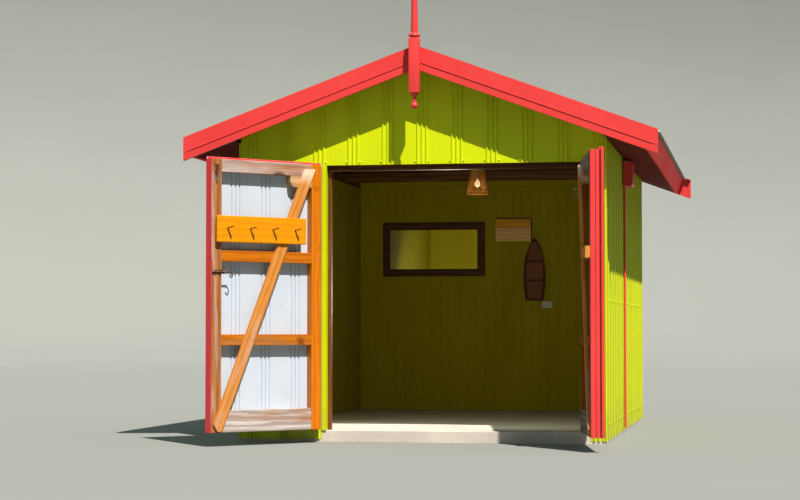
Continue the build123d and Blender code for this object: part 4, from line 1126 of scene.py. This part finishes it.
def wire_hooks():
    """Bent rod coat hooks, the slide bolt's curled handle and the wire hook of the right leaf."""
    board_face = timber_face + brace_thick + board_thick
    bolt_z, bolt_out, guide_half, guide_out = 1.445, 0.0095, 0.006, 0.019
    paths = []
    for along in (0.363, 0.588, 0.813, 1.038):
        # Each hook's leg lies on the board where the arm's shadow falls: a dark rod that is partly the hook
        # and partly painted shadow.
        paths.append([leaf_point(-1, along + step, board_face + out, height) for step, out, height in (
            (-0.040, -0.004, 1.727), (-0.039, 0.004, 1.730), (-0.010, 0.004, 1.800), (-0.008, 0.006, 1.808),
            (-0.012, 0.014, 1.811), (-0.034, 0.054, 1.821))])
    hooks = tubes("hook_rods", [rounded(path) for path in paths], 0.005, False)
    piece(hooks, "bent_coat_hooks", "left_door", rusted_rod, 50, ("coat_hooks",))
    rod = timber_face + bolt_out
    handle = [leaf_point(-1, along, rod + out, height) for along, out, height in (
        (1.052, 0.0, bolt_z), (0.992, 0.003, bolt_z), (0.974, 0.006, 1.440), (0.966, 0.010, 1.422),
        (0.972, 0.013, 1.404), (0.982, 0.015, 1.398), (0.993, 0.016, 1.406), (0.999, 0.017, 1.420))]
    guides = [leaf_board(-1, (at - guide_half, at + guide_half), (timber_face, timber_face + guide_out),
                         (bolt_z - 0.012, bolt_z + 0.012), 0.003) for at in (1.125, 1.075)]
    piece(joined([tubes("bolt_handle", [rounded(handle)], 0.0048, False), *guides]), "bolt_handle",
          "left_door", old_steel, 50)
    bent = [leaf_point(1, along, timber_face + out, height) for along, out, height in (
        (0.103, 0.0, 2.15), (0.103, 0.030, 2.15), (0.104, 0.046, 2.143), (0.106, 0.052, 2.126),
        (0.108, 0.046, 2.108), (0.110, 0.034, 2.103), (0.112, 0.024, 2.112))]
    plate = leaf_board(1, (0.091, 0.115), (timber_face, timber_face + 0.003), (2.12, 2.18), 0.001)
    piece(joined([tubes("wire_hook", [rounded(bent)], 0.004, False), plate]), "wire_hook", "right_door",
          zinc_screw, 50, ("right_hook",))


wire_hooks()


def lamp_shade():
    """A shade of woven cane: rings that weave in and out of the staves, between four stiff rims."""
    low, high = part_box("lamp_shade")
    centre = (low + high) / 2
    foot, top = (high.x - low.x) / 2 - 0.003, 0.069          # radius at the foot and at the top
    staves, rows, round_steps = 28, 34, 48
    holder_reach = 0.0195

    def ring(share, bulge=0.0):
        """The shade's radius at a share of its height."""
        return foot + (top - foot) * share + bulge

    def at(angle, radius, share):
        """A point round the shade's axis at a share of its height."""
        z = low.z + 0.003 + (high.z - low.z - 0.006) * share
        return (centre.x + radius * math.cos(angle), centre.y + radius * math.sin(angle), z)

    weave = []
    for row in range(rows):
        share = (row + 0.5) / rows
        if 0.80 < share < 0.86 or 0.10 < share < 0.16:
            continue
        path = []
        for i in range(staves * 3):
            angle = i / (staves * 3) * math.tau
            swing = 0.0021 * math.cos(staves * angle / 2 + row * math.pi)
            path.append(at(angle, ring(share, swing), share))
        weave.append(path)
    uprights = [[at(k / staves * math.tau, ring(share), share) for share in (0, 0.25, 0.5, 0.75, 1)]
                for k in range(staves)]
    rims = [[at(i / round_steps * math.tau, ring(share), share) for i in range(round_steps)]
            for share in (0.0, 0.13, 0.83, 1.0)]
    spokes = [[at(k / 8 * math.tau, r, 1.0) for r in (0.019, 0.045, top)] for k in range(8)]
    holder = [[at(i / 24 * math.tau, holder_reach, 1.0) for i in range(24)]]
    shade = joined([tubes("weave", weave, 0.0017, True), tubes("uprights", uprights, 0.0019, False),
                    tubes("rims", rims, 0.0032, True), tubes("spokes", spokes, 0.0022, False),
                    tubes("holder_ring", holder, 0.0018, True)])
    piece(shade, "cane_lamp_shade", "hut", cane, 50, ("lamp_shade",))


lamp_shade()


def lamp_glow():
    """Warm light from just below the bulb, inside the shade."""
    low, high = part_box("lamp_bulb")
    under = ((low.x + high.x) / 2, (low.y + high.y) / 2, low.z - 0.02)
    light = new_light("bulb_light", "POINT", 0.6, (1.0, 0.72, 0.40), under)
    light.data.shadow_soft_size = 0.03


lamp_glow()


def wall_panel():
    """Two oiled boards edged with a thin dark lath along the top and the right side."""
    low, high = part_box("wall_panel")
    lath = 0.010
    split = low.z + (high.z - low.z) * 0.60
    lower = board(low, (high.x - lath, high.y, split - 0.001), 0.002)
    piece(lower, "pale_board", "hut", pale_wood, replaces=("wall_panel",))
    upper = board((low.x, low.y, split + 0.001), (high.x - lath, high.y, high.z - lath), 0.002)
    piece(upper, "golden_board", "hut", gold_wood)
    laths = joined([board((low.x, low.y - 0.003, high.z - lath), (high.x, high.y, high.z), 0.001),
                    board((high.x - lath, low.y - 0.003, low.z), (high.x, high.y, high.z - lath), 0.001)])
    piece(laths, "board_laths", "hut", dark_wood)


wall_panel()


def outlet_details():
    """Two switches, and dark strips of painted shade for the slots of a plain double socket."""
    low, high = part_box("power_outlet")
    middle = (low.z + high.z) / 2
    face = low.y
    sockets_x = (low.x + 0.030, high.x - 0.030)
    switches = [board((x - 0.006, face - 0.003, high.z - 0.024), (x + 0.006, face + 0.001, high.z - 0.008),
                      0.001) for x in sockets_x]
    piece(joined(switches), "outlet_switches", "hut", white_plastic)
    # The slots are dark strips on the face: painted shade in the holes.
    slots = []
    for x in sockets_x:
        for step in (-0.008, 0.0, 0.008):
            drop = 0.012 if step == 0.0 else 0.004
            slots.append(board((x + step - 0.0012, face - 0.0004, middle - drop - 0.004),
                               (x + step + 0.0012, face + 0.001, middle - drop + 0.004), 0.0003))
    piece(joined(slots), "outlet_slot_shade", "hut", dark_wood)


outlet_details()
